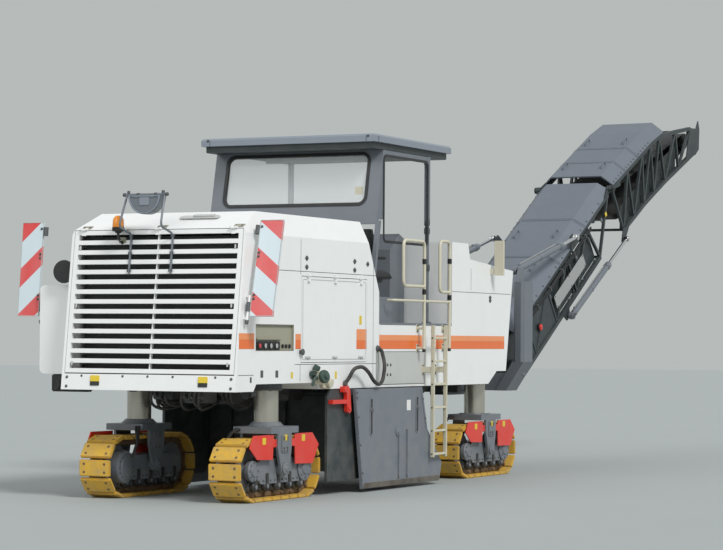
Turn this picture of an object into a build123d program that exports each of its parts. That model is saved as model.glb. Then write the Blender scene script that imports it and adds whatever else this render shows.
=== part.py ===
from build123d import *
import math
import os

os.makedirs("parts", exist_ok=True)

# Cold planer with four crawler tracks on lifting columns, in millimetres.
# X points forward to the discharge conveyor, Y to the left and Z up; the ground is at zero.
# While the pieces are drawn, X is zero at the rear lifting columns and Y on the centre plane.

# Overall layout
axle_rear_x = 0
axle_front_x = 5400
track_centre_y = 780
body_half_width = 1045
body_bottom_z = 1220
sheet = 30
gap = 6
seat_gap = 0.3

# Crawler tracks
track_length = 1780
track_height = 650
pad_width = 370
pad_thickness = 40
pad_gap = 16
pad_count = 22
chain_width = 150
chain_thickness = 55
frame_half_width = 150
roller_radius = 62
roller_count = 5
hub_radius = 175
hub_reach = 30
fork_thickness = 30
fork_clearance = 12
fork_width = 300
fork_knee_z = 540
foot_bottom_z = 700
foot_thickness = 69.7
foot_length = 600
cover_thickness = 12

# Lifting columns
column_radius = 130
column_running = 4
sleeve_wall = 32
column_length = 1050
sleeve_length = 900
guide_ring_height = 60
lashing_radius = 28

# Engine hood
rear_bottom_x = -1130
rear_lean = 6.85
beam_height = 165
hood_top_z = 3000
door_top_z = 2810
slope_front_x = -550
hood_front_low_x = 2140
hood_front_mid_x = 1870
hood_front_mid_z = 2760
hood_shoulder_z = 2760
hood_crown_half_width = body_half_width - 115
rear_corner_z = 1145

# Grille door
door_edge = 50
mullion_half = 8
slat_count = 15
slat_height = 46
door_thickness = 60
slat_thickness = 30
hinge_radius = 14
hinge_pin_radius = 8
hinge_half = 24

# Service door on the right
service_door_x0 = 270
service_door_x1 = 1830
service_door_z0 = 1434
service_door_z1 = 2355

# Front body
front_low_x = 5770
front_top_x = 5990
front_top_z = 2565
front_step_z = 2670
tower_x0 = 4120
tower_x1 = 4650
tower_z = 2860
nose_bottom_z = 1305
nose_back_x = 5400
floor_z = 1860
step_top_z = 2170
front_bottom_z = 1150
tunnel_top_z = 1780

# Drum and its housing
drum_x = 2600
drum_z = 620
cutting_radius = 490
drum_core_radius = 370
drum_half_length = body_half_width - 70
tool_rows = 6
tools_per_row = 9
tool_width = 46
housing_wall = 30
housing_inner_radius = 560
housing_rear_x = 1900
housing_front_x = 3330
housing_low_z = 300
wall_outer_y = body_half_width - 10
wall_inner_y = wall_outer_y - housing_wall
gate_rear_x = 905
drum_shaft_radius = 120
shaft_end_y = wall_outer_y - 12
scraper_x = 1910
scraper_hinge_z = 1080
scraper_pin_radius = 35
scraper_pin_end = wall_outer_y - 6
side_plate_y = body_half_width + 45
side_plate_thickness = 34
side_plate_top_z = 1140

# Collecting conveyor under the front body
collector_start_x = housing_front_x + 30
collector_start_z = 450
collector_angle = 24
collector_length = 3560
collector_half_width = 420
collector_height = 300

# Slewing console
slew_x = 6800
slew_rest = -4.3
slew_pin_radius = 60
pin_running = 0.05
yoke_radius = 170
yoke_low_z = 1035
yoke_height = 230
yoke_arm = 330
lug_thickness = 45
lug_clearance = 5
lug_half_width = 130
tongue_half_width = 175
post_inner_y = 710
post_width = 160
post_x0 = 20
post_x1 = 320
post_top_z = 2450
foot_inset = 250
post_knee_z = 1410
post_chamfer = 40

# Discharge conveyor, drawn straight ahead with its length measured from the slewing axis
belt_half_width = 565
luff_x = 300
luff_z = 1350
luff_rest = 34.8
section_depth = 650
section_length = 3890
section_bottom_length = 3100
skirt_y = 480
skirt_sheet = 8
chord = 55
web = 36
luff_pin_radius = 45
fold_pin_radius = 30
tip_lug_seat = 3
tip_lug_reach = 11
cover_rise = 130
tip_cover_rise = 150
cover_crown_half_width = 400
cover_sheet = 20
tip_end = 3200
belt_thickness = 14
belt_reach = 400

# Canopy
canopy_x0 = 2200
canopy_x1 = 4280
canopy_y0 = -body_half_width + 95
canopy_y1 = body_half_width + 275
canopy_z0 = 3860
canopy_z1 = 4020
roof_edge = 90
roof_inset = 45
canopy_wall_x = 2435
front_post_x = 3755
canopy_lean = 11.5

# Rails and ladder
rail_radius = 19
ladder_x = 3470
ladder_width = 350
ladder_depth = 45

# Tank, boards and lamps
tank_depth = 490
board_width = 270
board_height = 1010
board_lean_right = 13
board_lean_left = 5

# The ends and sides of the whole machine; the origin is the middle of that box on the ground
rear_end_x = -1193.3
front_end_x = 13324.3
right_end_y = -1381
left_end_y = 1851
origin_x = (rear_end_x + front_end_x) / 2
origin_y = (right_end_y + left_end_y) / 2


def block(x0, x1, y0, y1, z0, z1):
    """A box between two corners."""
    return Pos((x0 + x1) / 2, (y0 + y1) / 2, (z0 + z1) / 2) * Box(abs(x1 - x0), abs(y1 - y0), abs(z1 - z0))


def side_prism(points, y0, y1):
    """An outline in X and Z, carried from y0 to y1."""
    outline = make_face(Plane.XZ * Polyline(*points, close=True))
    return Pos(0, y1, 0) * extrude(outline, amount=y1 - y0, dir=(0, -1, 0))


def bar(p, q, width, depth):
    """A square bar from p to q, with its width level."""
    start = Vector(*p)
    run = Vector(*q) - start
    level = Vector(0, 0, 1).cross(run)
    if level.length < 1:
        level = Vector(0, 1, 0)
    seat = Plane(origin=start, x_dir=level, z_dir=run)
    return seat * (Pos(0, 0, run.length / 2) * Box(width, depth, run.length))


def rod(p, q, radius):
    """A round bar from p to q."""
    start = Vector(*p)
    run = Vector(*q) - start
    seat = Plane(origin=start, z_dir=run)
    return seat * (Pos(0, 0, run.length / 2) * Cylinder(radius, run.length))


def cross_rod(x, y0, y1, z, radius):
    """A round bar across the machine."""
    return rod((x, y0, z), (x, y1, z), radius)


def tube_run(points, radius, bend):
    """A bent tube through the points, eight-sided so that it stays light."""
    path = FilletPolyline(*points, radius=bend)
    start = path @ 0
    section = Rot(0, 0, 22.5) * RegularPolygon(radius, 8, major_radius=False)
    return sweep(Plane(origin=start, z_dir=path % 0) * section, path=path)


def save(shape, name):
    placed = Pos(-origin_x, -origin_y, 0) * shape
    export_step(placed, "parts/" + name + ".step")


def both_sides(shape):
    return shape + mirror(shape, about=Plane.XZ)


# One crawler track, drawn with its centre on the origin and its outer side towards minus Y
end_radius = track_height / 2
straight = track_length - track_height
pad_line_radius = end_radius - pad_thickness / 2
loop_length = 2 * straight + 2 * math.pi * pad_line_radius
pad_pitch = loop_length / pad_count


def loop_place(travel, radius):
    """A place on the track's path: X, Z and the outward direction in degrees."""
    half_turn = math.pi * pad_line_radius
    if travel < straight:
        return travel - straight / 2, end_radius - radius, -90
    travel -= straight
    if travel < half_turn:
        angle = -90 + math.degrees(travel / pad_line_radius)
        side = math.radians(angle)
        return straight / 2 + radius * math.cos(side), end_radius + radius * math.sin(side), angle
    travel -= half_turn
    if travel < straight:
        return straight / 2 - travel, end_radius + radius, 90
    travel -= straight
    angle = 90 + math.degrees(travel / pad_line_radius)
    side = math.radians(angle)
    return -straight / 2 + radius * math.cos(side), end_radius + radius * math.sin(side), angle


def stadium(radius, half_width):
    """A flat-sided loop, round at both ends."""
    ends = Pos(0, 0, end_radius) * (Rot(90, 0, 0) * extrude(SlotCenterToCenter(straight, 2 * radius), half_width, both=True))
    return ends


def track_loop():
    chain_outer = end_radius - pad_thickness + 2
    chain_inner = chain_outer - chain_thickness
    loop = stadium(chain_outer, chain_width / 2) - stadium(chain_inner, chain_width / 2 + 1)
    pads = []
    for i in range(pad_count):
        x, z, angle = loop_place((i + 0.5) * pad_pitch, pad_line_radius)
        pad = Box(pad_thickness, pad_width, pad_pitch - pad_gap)
        pads.append(Pos(x, 0, z) * Rot(0, -angle, 0) * pad)
    loop = loop.fuse(*pads)
    return loop & block(-track_length / 2, track_length / 2, -pad_width, pad_width, 0, track_height)


chain_inner_radius = end_radius - pad_thickness + 2 - chain_thickness
wheel_radius = chain_inner_radius - seat_gap


def track_frame(hub_side):
    """Frame, wheels, rollers, drive hub and fork; hub_side is 1 where the hub faces plus Y."""
    half = straight / 2
    beam = [
        (-half + 60, 250), (-half + 200, 180), (half - 60, 180), (half + 60, 260),
        (half + 60, 400), (half - 120, 440), (-half + 200, 440), (-half + 60, 390),
    ]
    frame = side_prism(beam, -frame_half_width, frame_half_width)
    for x in (-half, half):
        frame += cross_rod(x, -chain_width / 2 + 12, chain_width / 2 - 12, end_radius, wheel_radius)
        frame += cross_rod(x, -frame_half_width, frame_half_width, end_radius, 70)
    roller_z = end_radius - chain_inner_radius + roller_radius + 2
    spacing = (straight - 140) / (roller_count - 1)
    for i in range(roller_count):
        x = -half + 70 + i * spacing
        frame += cross_rod(x, -chain_width / 2 - 30, chain_width / 2 + 30, roller_z, roller_radius)
    outer = frame_half_width + hub_reach
    y0, y1 = (frame_half_width - 90, outer) if hub_side > 0 else (-outer, -frame_half_width + 90)
    frame += cross_rod(-half, y0, y1, end_radius, hub_radius)
    leg_y0 = pad_width / 2 + fork_clearance
    leg_y1 = leg_y0 + fork_thickness
    leg = [
        (-fork_width / 2, foot_bottom_z), (-fork_width / 2, fork_knee_z), (-fork_width / 2 + 90, 270),
        (fork_width / 2 - 60, 270), (fork_width / 2, fork_knee_z), (fork_width / 2, foot_bottom_z),
    ]
    frame += side_prism(leg, -leg_y1, -leg_y0)
    frame += side_prism(leg, leg_y0, leg_y1)
    frame += cross_rod(0, -leg_y1 - 12, leg_y1 + 12, 330, 62)
    frame += block(-foot_length / 2, foot_length / 2, -leg_y1, leg_y1, foot_bottom_z, foot_bottom_z + foot_thickness)
    return frame


def track_covers(side):
    """Two guards over the pads' edge; side is 1 where they face plus Y."""
    inner = pad_width / 2 + fork_clearance
    top = foot_bottom_z - 10
    rear = [(-640, top), (-210, top), (-230, 430), (-560, 440), (-720, 560)]
    front = [(250, top), (650, top), (800, 560), (660, 360), (270, 370)]
    y0, y1 = (inner, inner + cover_thickness) if side > 0 else (-inner - cover_thickness, -inner)
    covers = side_prism(rear, y0, y1) + side_prism(front, y0, y1)
    for x0, x1 in ((-360, -fork_width / 2), (fork_width / 2, 380)):
        covers += block(x0, x1, y0, y1, 560, 640)
    return covers


column_z = foot_bottom_z + foot_thickness + seat_gap
column = Pos(0, 0, column_z + column_length / 2) * Cylinder(column_radius, column_length)
loop_shape = track_loop()

legs = [
    # name, x, side
    ("rear_right", axle_rear_x, -1),
    ("rear_left", axle_rear_x, 1),
    ("front_right", axle_front_x, -1),
    ("front_left", axle_front_x, 1),
]
for leg_name, leg_x, leg_side in legs:
    seat = Pos(leg_x, leg_side * track_centre_y, 0)
    save(seat * loop_shape, "track_loop_" + leg_name)
    save(seat * track_frame(-leg_side), "track_frame_" + leg_name)
    save(seat * track_covers(leg_side), "track_covers_" + leg_name)
    save(seat * column, "column_" + leg_name)

# Chassis frame: sleeves for the columns, two long beams and cross beams
sleeve_z0 = body_bottom_z - 60
sleeve_outer = column_radius + column_running + sleeve_wall
beam_y0 = 470
beam_y1 = 590
rear_beam_z = (1300, 1620)
front_beam_z = (1500, 1750)
chassis = both_sides(block(-640, 1750, beam_y0, beam_y1, *rear_beam_z))
chassis += both_sides(block(1750, 5500, beam_y0, beam_y1, *front_beam_z))
for x0, x1, z0, z1 in ((-640, -540, *rear_beam_z), (-60, 60, *rear_beam_z), (1650, 1750, rear_beam_z[0], 1750)):
    chassis += block(x0, x1, -beam_y1, beam_y1, z0, z1)
chassis += both_sides(block(-60, 60, beam_y1, track_centre_y - column_radius - 8, *rear_beam_z))
chassis += both_sides(block(axle_front_x - 50, axle_front_x + 50, beam_y1, track_centre_y - column_radius - 8,
                            *front_beam_z))
leg_seats = [(x, side * track_centre_y) for x in (axle_rear_x, axle_front_x) for side in (-1, 1)]
for x, y in leg_seats:
    chassis += Pos(x, y, sleeve_z0 + sleeve_length / 2) * Cylinder(sleeve_outer, sleeve_length)
for x, y in leg_seats:
    chassis -= Pos(x, y, sleeve_z0 + sleeve_length / 2) * Cylinder(column_radius + seat_gap, sleeve_length + 200)
    relief = Cylinder(column_radius + column_running, sleeve_length - 2 * guide_ring_height)
    chassis -= Pos(x, y, sleeve_z0 + sleeve_length / 2) * relief
# Pads that carry the hood and the front body
for x0, x1, z0, z1 in (
    (150, 400, body_bottom_z + sheet + seat_gap, rear_beam_z[0]),
    (2500, 2800, front_beam_z[1], tunnel_top_z - seat_gap),
    (4500, 4800, front_beam_z[1], tunnel_top_z - seat_gap),
):
    chassis += both_sides(block(x0, x1, beam_y0, beam_y1, z0, z1))
# Slewing bracket under the front beams: a tongue with two lugs and the slewing pin
yoke_top_z = yoke_low_z + yoke_height
tongue_x1 = slew_x - 460
bracket = block(5300, tongue_x1, -tongue_half_width, tongue_half_width, yoke_low_z, yoke_top_z)
for z in (yoke_low_z - lug_clearance - lug_thickness, yoke_top_z + lug_clearance):
    lug = block(tongue_x1 - 300, slew_x, -lug_half_width, lug_half_width, z, z + lug_thickness)
    lug += Pos(slew_x, 0, z + lug_thickness / 2) * Cylinder(lug_half_width, lug_thickness)
    bracket += lug
for z in (yoke_low_z - lug_clearance, yoke_top_z):
    bracket += block(tongue_x1 - 300, tongue_x1, -lug_half_width, lug_half_width, z, z + lug_clearance)
pin_height = yoke_height + 2 * lug_clearance + 2 * lug_thickness
bracket += Pos(slew_x, 0, yoke_low_z + yoke_height / 2) * Cylinder(slew_pin_radius, pin_height)
bracket += both_sides(block(5300, 5400, tongue_half_width - 20, beam_y1, yoke_low_z, yoke_top_z))
bracket += both_sides(block(5300, 5400, beam_y0, beam_y1, yoke_top_z, front_beam_z[0] - seat_gap))
# Ears for the slewing cylinder's barrel
slew_anchor_x = 5650
slew_anchor_y = -yoke_arm
slew_eye_half = 40
ear_thickness = 20
slew_cylinder_z = yoke_top_z + lug_clearance + slew_eye_half
ear_x = slew_anchor_x - 75
slew_eye_pin = 25
slew_rod_radius = 26
ear_z1 = slew_cylinder_z + slew_eye_half + lug_clearance + ear_thickness
bracket += block(ear_x, slew_anchor_x + 50, slew_anchor_y - 50, -tongue_half_width + 5, yoke_top_z - 30, yoke_top_z)
bracket += block(ear_x, ear_x + 20, slew_anchor_y - 50, slew_anchor_y + 50, yoke_top_z - 30, ear_z1)
bracket += block(ear_x, slew_anchor_x + 50, slew_anchor_y - 50, slew_anchor_y + 50, ear_z1 - ear_thickness, ear_z1)
ear_pin = Cylinder(slew_eye_pin, ear_z1 - yoke_top_z + 30)
bracket += Pos(slew_anchor_x, slew_anchor_y, (ear_z1 + yoke_top_z - 30) / 2) * ear_pin
save(bracket, "slewing_bracket")
# Lashing eyes: two hanging below the rear cross beam, two below the front beams
for x, z, plate_top in ((-590, 1175, rear_beam_z[0]), (5050, 1110, front_beam_z[0])):
    eye_plate = block(x - 50, x + 50, beam_y0 + 10, beam_y0 + 40, z - 55, plate_top)
    eye_plate -= cross_rod(x, beam_y0, beam_y1, z, lashing_radius)
    chassis += both_sides(eye_plate)
save(chassis, "chassis_frame")


def rear_face_x(z):
    """The leaning rear face at height z."""
    return rear_bottom_x + (z - rear_corner_z) * math.tan(math.radians(rear_lean))


# Engine hood: a hollow sheet-metal housing
hood_side = [
    (rear_bottom_x, rear_corner_z), (rear_face_x(door_top_z), door_top_z), (slope_front_x, hood_top_z),
    (hood_front_mid_x, hood_top_z), (hood_front_mid_x, hood_front_mid_z), (hood_front_low_x, 2220),
    (hood_front_low_x, front_bottom_z), (700, front_bottom_z), (600, body_bottom_z), (-700, body_bottom_z),
    (-760, rear_corner_z),
]
hood_section = [
    (-body_half_width, 1000), (body_half_width, 1000), (body_half_width, hood_shoulder_z),
    (hood_crown_half_width, hood_top_z), (-hood_crown_half_width, hood_top_z),
    (-body_half_width, hood_shoulder_z),
]
side_face = make_face(Plane.XZ * Polyline(*hood_side, close=True))
section_face = make_face(Plane.YZ * Polyline(*hood_section, close=True))
hood = extrude(side_face, body_half_width + 100, both=True) & Pos(-1500, 0, 0) * extrude(section_face, 4000, dir=(1, 0, 0))
inner_side = offset(side_face, -sheet, kind=Kind.INTERSECTION)
inner_section = offset(section_face, -sheet, kind=Kind.INTERSECTION)
hollow = extrude(inner_side, body_half_width + 100, both=True) & Pos(-1500, 0, 0) * extrude(inner_section, 4000, dir=(1, 0, 0))
hood -= hollow
door_bottom_z = rear_corner_z + beam_height
opening = side_prism([
    (rear_face_x(door_bottom_z) - 50, door_bottom_z), (rear_face_x(door_bottom_z) + 90, door_bottom_z),
    (rear_face_x(door_top_z) + 90, door_top_z), (rear_face_x(door_top_z) - 50, door_top_z),
], -body_half_width + sheet, body_half_width - sheet)
hood -= opening
hood -= block(service_door_x0, service_door_x1, -body_half_width - 5, -body_half_width + sheet + 5,
              service_door_z0, service_door_z1)
lamp_recess = block(-720, 110, -body_half_width - 5, -body_half_width + sheet + 5, 1560, 1835)
hood -= lamp_recess
hood += block(-720 - sheet, 110 + sheet, -body_half_width + sheet, -body_half_width + 2 * sheet, 1530, 1865)
for leg_side in (-1, 1):
    hood -= Pos(axle_rear_x, leg_side * track_centre_y, 1200) * Cylinder(sleeve_outer + gap, 300)
hood -= both_sides(block(-650, -530, 470, 520, 1140, 1280))
hood -= block(hood_front_low_x - sheet - 5, hood_front_low_x + 5, -620, 620, 1240, 1780)

# Grille door, drawn upright with its hinge line on the origin and then leaned
door_half = body_half_width - sheet - gap
door_height = (door_top_z - door_bottom_z) / math.cos(math.radians(rear_lean)) - 2 * gap
door_x0 = 0
door_x1 = door_thickness
grille = both_sides(block(door_x0, door_x1, door_half - door_edge, door_half, -door_height, -gap))
slat_start = -door_height + slat_height / 2
slat_step = (door_height - gap - slat_height) / (slat_count - 1)
for i in range(slat_count):
    z = slat_start + i * slat_step
    grille += block(door_x0, door_x0 + slat_thickness, -door_half + 5, door_half - 5, z - slat_height / 2, z + slat_height / 2)
grille += block(door_x0 + slat_thickness - 4, door_x1, -mullion_half, mullion_half, -door_height, -gap)
door_hinge_x = rear_face_x(door_top_z)
door_seat = Pos(door_hinge_x, 0, door_top_z) * Rot(0, rear_lean, 0)
hinge_side_y = door_half - 110
hinge_ys = (-hinge_side_y, 0, hinge_side_y)
for y in hinge_ys:
    grille += cross_rod(-hinge_radius, y - hinge_half, y + hinge_half, 0, hinge_radius)
    grille += block(-8, 2, y - hinge_half, y + hinge_half, -60, -hinge_radius / 2)
    grille -= cross_rod(-hinge_radius, y - hinge_half - 1, y + hinge_half + 1, 0, hinge_pin_radius + pin_running)
    pin = cross_rod(-hinge_radius, y - hinge_half - 12, y + hinge_half + 12, 0, hinge_pin_radius)
    for side in (-1, 1):
        y0, y1 = sorted((y + side * (hinge_half + 2), y + side * (hinge_half + 16)))
        pin += block(-2 * hinge_radius, 14, y0, y1, -4, 20)
    hood += door_seat * pin
save(door_seat * grille, "grille_door")

# Lamp frame on the grille door
lamp_bar_z = 3160
lamp_tube_radius = 11
tube_off = (lamp_tube_radius + seat_gap) / math.cos(math.radians(rear_lean))
frame_points = []
for y in (310, -190):
    frame_points.append([
        (rear_face_x(2350) - tube_off, y, 2350), (rear_face_x(2760) - tube_off, y, 2760),
        (rear_face_x(2760) - 260, y, 2830), (rear_face_x(2760) - 150, y * 0.9, lamp_bar_z),
    ])
lamp_frame = tube_run(frame_points[0], lamp_tube_radius, 50) + tube_run(frame_points[1], lamp_tube_radius, 50)
bar_x = rear_face_x(2760) - 150
lamp_frame += rod((bar_x, 305, lamp_bar_z), (bar_x, -195, lamp_bar_z), 14)
lamp_disc = Rot(0, 90, 0) * Cylinder(195, 110) & block(-300, 300, -300, 300, -300, 0)
lamp_frame += Pos(bar_x, 40, lamp_bar_z - 10) * lamp_disc
save(lamp_frame, "rear_lamp_frame")

# Service door on the right side
service_door = block(service_door_x0 + gap, service_door_x1 - gap, -body_half_width, -body_half_width + sheet - 2,
                     service_door_z0 + gap, service_door_z1 - gap)
service_hinge_y = -body_half_width - hinge_radius - 1
service_hinge_z = service_door_z1 + 4


def long_rod(x0, x1, y, z, radius):
    """A round bar along the machine."""
    return rod((x0, y, z), (x1, y, z), radius)


for share in (0.1, 0.5, 0.9):
    x = service_door_x0 + share * (service_door_x1 - service_door_x0)
    x0, x1 = x - hinge_half, x + hinge_half
    service_door += long_rod(x0, x1, service_hinge_y, service_hinge_z, hinge_radius)
    service_door += block(x0, x1, service_hinge_y - 6, -body_half_width, service_door_z1 - 60, service_hinge_z)
    service_door -= long_rod(x0 - 1, x1 + 1, service_hinge_y, service_hinge_z, hinge_pin_radius + pin_running)
    hood += long_rod(x0 - 12, x1 + 12, service_hinge_y, service_hinge_z, hinge_pin_radius)
    for low, high in ((x0 - 16, x0 - 2), (x1 + 2, x1 + 16)):
        hood += block(low, high, service_hinge_y - hinge_radius, -body_half_width + 2, service_door_z1 + 1,
                      service_hinge_z + 26)
        hood += long_rod(low, high, service_hinge_y, service_hinge_z, hinge_radius)
save(service_door, "service_door")

# Engine and radiator behind the grille
save(block(-250, 1450, -380, 380, rear_beam_z[1] + seat_gap, 2600), "engine_block")
radiator_x = rear_face_x(door_bottom_z) + 260
radiator_half = door_half - 69
save(block(radiator_x, radiator_x + 160, -radiator_half, radiator_half, body_bottom_z + sheet + seat_gap,
           door_top_z - 70), "radiator")

# Left tank
tank = block(-800, 500, body_half_width, body_half_width + tank_depth, 1300, 2240)
tank = fillet(tank.edges().filter_by(Axis.X).group_by(SortBy.LENGTH)[0], 60)

# Front body with platform base, tower and nose
front_outline = [
    (hood_front_low_x + gap, front_bottom_z), (hood_front_low_x + gap, floor_z), (tower_x0, floor_z),
    (tower_x0, tower_z), (tower_x1 - 60, tower_z), (tower_x1, front_step_z), (front_top_x, front_top_z),
    (front_low_x, nose_bottom_z), (nose_back_x + 80, nose_bottom_z), (nose_back_x - 180, front_bottom_z),
]
front_body = side_prism(front_outline, -body_half_width, body_half_width)
tunnel_rise = math.tan(math.radians(collector_angle))


def collector_z(x):
    """Underside of the collecting conveyor at x."""
    return collector_start_z + (x - collector_start_x) * tunnel_rise


tunnel = [
    (2000, 800), (2000, tunnel_top_z), (4950, tunnel_top_z), (7000, collector_z(7000) + 620),
    (7000, 800),
]
front_body -= side_prism(tunnel, -620, 620)
for leg_side in (-1, 1):
    pocket = Cylinder(sleeve_outer + gap, 2200)
    front_body -= Pos(axle_front_x, leg_side * track_centre_y, 1000) * pocket
save(front_body, "front_body")

# Operator platform: deck, step box and low walls
platform = block(hood_front_low_x + gap, tower_x0 - gap, -body_half_width, body_half_width, floor_z, floor_z + 20)
platform += block(hood_front_low_x + gap, 2600, -body_half_width + 60, body_half_width - 60, floor_z + 20, step_top_z)
save(platform, "platform")

# Seats and console
seat_y = body_half_width - 385
seats = Part()
for y in (-seat_y, seat_y):
    seat_part = block(2330, 2800, y - 240, y + 240, 2380, 2480)
    seat_part += side_prism([(2330, 2480), (2460, 2480), (2400, 2950), (2290, 2950)], y - 220, y + 220)
    seat_part += block(2450, 2590, y - 80, y + 80, step_top_z, 2380)
    seats += seat_part
save(seats, "seats")
console = side_prism([(3700, floor_z + 20), (4100, floor_z + 20), (4100, 2900), (3950, 2960), (3700, 2760)], -420, 420)
save(console, "console")

# Canopy: roof, rear wall with its window, and side frame
roof = block(canopy_x0, canopy_x1, canopy_y0, canopy_y1, canopy_z1 - roof_edge, canopy_z1)
roof = chamfer(roof.faces().sort_by(Axis.Z)[-1].edges(), 22)
roof += block(canopy_x0 + roof_inset, canopy_x1 - roof_inset, canopy_y0 + roof_inset, canopy_y1 - roof_inset,
              canopy_z0, canopy_z1 - roof_edge)
save(roof, "canopy_roof")
wall_y0 = canopy_y0 + 50
wall_y1 = canopy_y1 - 30
window_margin = 170
wall_z0 = 3000
lean = math.tan(math.radians(canopy_lean))


def wall_x(z):
    return canopy_wall_x + (z - 3430) * lean


def leaning_panel(z0, z1, y0, y1, thickness):
    return side_prism([(wall_x(z0), z0), (wall_x(z0) + thickness, z0), (wall_x(z1) + thickness, z1), (wall_x(z1), z1)], y0, y1)


canopy = leaning_panel(wall_z0, canopy_z0, wall_y0, wall_y1, 50)
window_shape = RectangleRounded(wall_y1 - wall_y0 - 2 * window_margin, 580, 90)
window = extrude(Plane.YZ * Pos((wall_y0 + wall_y1) / 2, 3525) * window_shape, 1500)
canopy -= Pos(1800, 0, 0) * window
for y0, y1 in ((wall_y0 - 35, wall_y0 + 15), (body_half_width - 120, body_half_width - 60)):
    canopy += leaning_panel(step_top_z, wall_z0 + 40, y0, y1, 50)
# Side frame on the right: a sheet with a rounded opening, on a telescopic post
side_frame = side_prism([
    (wall_x(3060), 3060), (wall_x(canopy_z0), canopy_z0), (front_post_x + 35, canopy_z0),
    (front_post_x + 35, 3060),
], wall_y0, wall_y0 + 40)
side_opening = Plane.XZ * Pos((2535 + front_post_x - 35) / 2, 3300) * RectangleRounded(front_post_x - 35 - 2535, 980, 60)
side_frame -= Pos(0, wall_y0 - 50, 0) * extrude(side_opening, 200, dir=(0, 1, 0))
canopy += side_frame
for y in (wall_y0 + 20, body_half_width - 90):
    canopy += bar((front_post_x, y, 3060), (front_post_x, y, canopy_z0), 44, 70)
    canopy += rod((front_post_x, y, floor_z + 20), (front_post_x, y, 3070), 26)
    canopy += Pos(front_post_x, y, floor_z + 26) * Cylinder(60, 12)
save(canopy, "canopy_frame")

# Handrails and ladder on the right
rail_y = -body_half_width - 90
rails = Part()
for x0, x1, z0, z1, post_z in ((2580, 3145, 2303, 2825, 1550), (3570, 3850, 2250, 2850, 1560)):
    rails += tube_run([(x1 - 10, rail_y, z0), (x0, rail_y, z0), (x0, rail_y, z1), (x1, rail_y, z1),
                       (x1, rail_y, z1 - 150)], rail_radius, 70)
    rails += rod((x1, rail_y, z1 - 160), (x1, rail_y, post_z), rail_radius)
    for z in (post_z + 40, floor_z - 40):
        rails += rod((x1, rail_y, z), (x1, -body_half_width, z), rail_radius)
save(rails, "handrails")
ladder = Part()
ladder_y = -(side_plate_y + side_plate_thickness + 20 + 15)
stile_y = ladder_y - ladder_depth
for x in (ladder_x - ladder_width / 2, ladder_x + ladder_width / 2):
    ladder += block(x - 15, x + 15, stile_y, ladder_y, 320, floor_z)
    ladder += block(x - 15, x + 15, ladder_y, -body_half_width, 1300, 1380)
for i in range(6):
    z = 360 + i * 270
    ladder += block(ladder_x - ladder_width / 2, ladder_x + ladder_width / 2, stile_y, ladder_y, z - 15, z + 15)
save(ladder, "ladder")

# Drum housing: end walls and an arched cover open at the bottom
inner_arch = cross_rod(drum_x, -body_half_width, body_half_width, drum_z, housing_inner_radius)
housing = side_prism([
    (housing_rear_x + 60, 800), (housing_rear_x + 60, front_bottom_z - seat_gap), (housing_front_x, front_bottom_z - seat_gap),
    (housing_front_x, housing_low_z), (housing_front_x - 90, housing_low_z), (housing_front_x - 90, 800),
], -wall_outer_y, wall_outer_y)
housing -= inner_arch
end_wall = side_prism([
    (gate_rear_x, 150), (gate_rear_x, 1060), (1000, front_bottom_z - seat_gap), (housing_front_x, front_bottom_z - seat_gap),
    (housing_front_x, housing_low_z), (housing_rear_x + 60, housing_low_z), (1800, 150),
], wall_inner_y, wall_outer_y)
end_wall += cross_rod(drum_x, drum_half_length + 15, wall_inner_y, drum_z, 190)
for x in (2100, 2990):
    end_wall += block(x - 45, x + 45, wall_outer_y, side_plate_y - seat_gap, 420, side_plate_top_z - 60)
end_wall -= cross_rod(drum_x, drum_half_length, shaft_end_y + 2, drum_z, drum_shaft_radius + pin_running)
end_wall -= cross_rod(scraper_x, wall_inner_y - 1, scraper_pin_end + 2, scraper_hinge_z, scraper_pin_radius + pin_running)
housing += both_sides(end_wall)
housing -= block(housing_front_x - 95, housing_front_x + 5, -collector_half_width - seat_gap, collector_half_width + seat_gap,
                 housing_low_z - 1, 800)
save(housing, "drum_housing")

# Drum: core with cutting tools in helical rows that meet in the middle
drum = cross_rod(0, -drum_half_length, drum_half_length, 0, drum_core_radius)
tools = []
tool = side_prism([
    (drum_core_radius - 20, -60), (drum_core_radius - 20, 60), (drum_core_radius + 60, 50),
    (cutting_radius, 40), (cutting_radius - 30, 5), (drum_core_radius + 50, -50),
], -tool_width / 2, tool_width / 2)
row_step = (drum_half_length - tool_width) / tools_per_row
for side in (-1, 1):
    for row in range(tool_rows):
        for i in range(tools_per_row):
            turn = row * 360 / tool_rows + i * 13
            y = side * (row_step * (i + 0.5) + (row % 2) * row_step / 2)
            tools.append(Rot(0, turn, 0) * Pos(0, y, 0) * tool)
drum = drum.fuse(*tools)
drum += cross_rod(0, -shaft_end_y, shaft_end_y, 0, drum_shaft_radius)
save(Pos(drum_x, 0, drum_z) * drum, "milling_drum")

# Scraper behind the drum, hung from its top edge
scraper = side_prism([
    (scraper_x - 10, 200), (scraper_x + 30, 200), (scraper_x + 30, scraper_hinge_z), (scraper_x - 10, scraper_hinge_z),
], -wall_inner_y + 10, wall_inner_y - 10)
scraper += cross_rod(scraper_x, -scraper_pin_end, scraper_pin_end, scraper_hinge_z, scraper_pin_radius)
for y in (-700, 0, 700):
    scraper += side_prism([(scraper_x - 10, 260), (scraper_x - 70, 420), (scraper_x - 70, 900),
                           (scraper_x - 10, 1040)], y - 15, y + 15)
save(scraper, "scraper")

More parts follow.
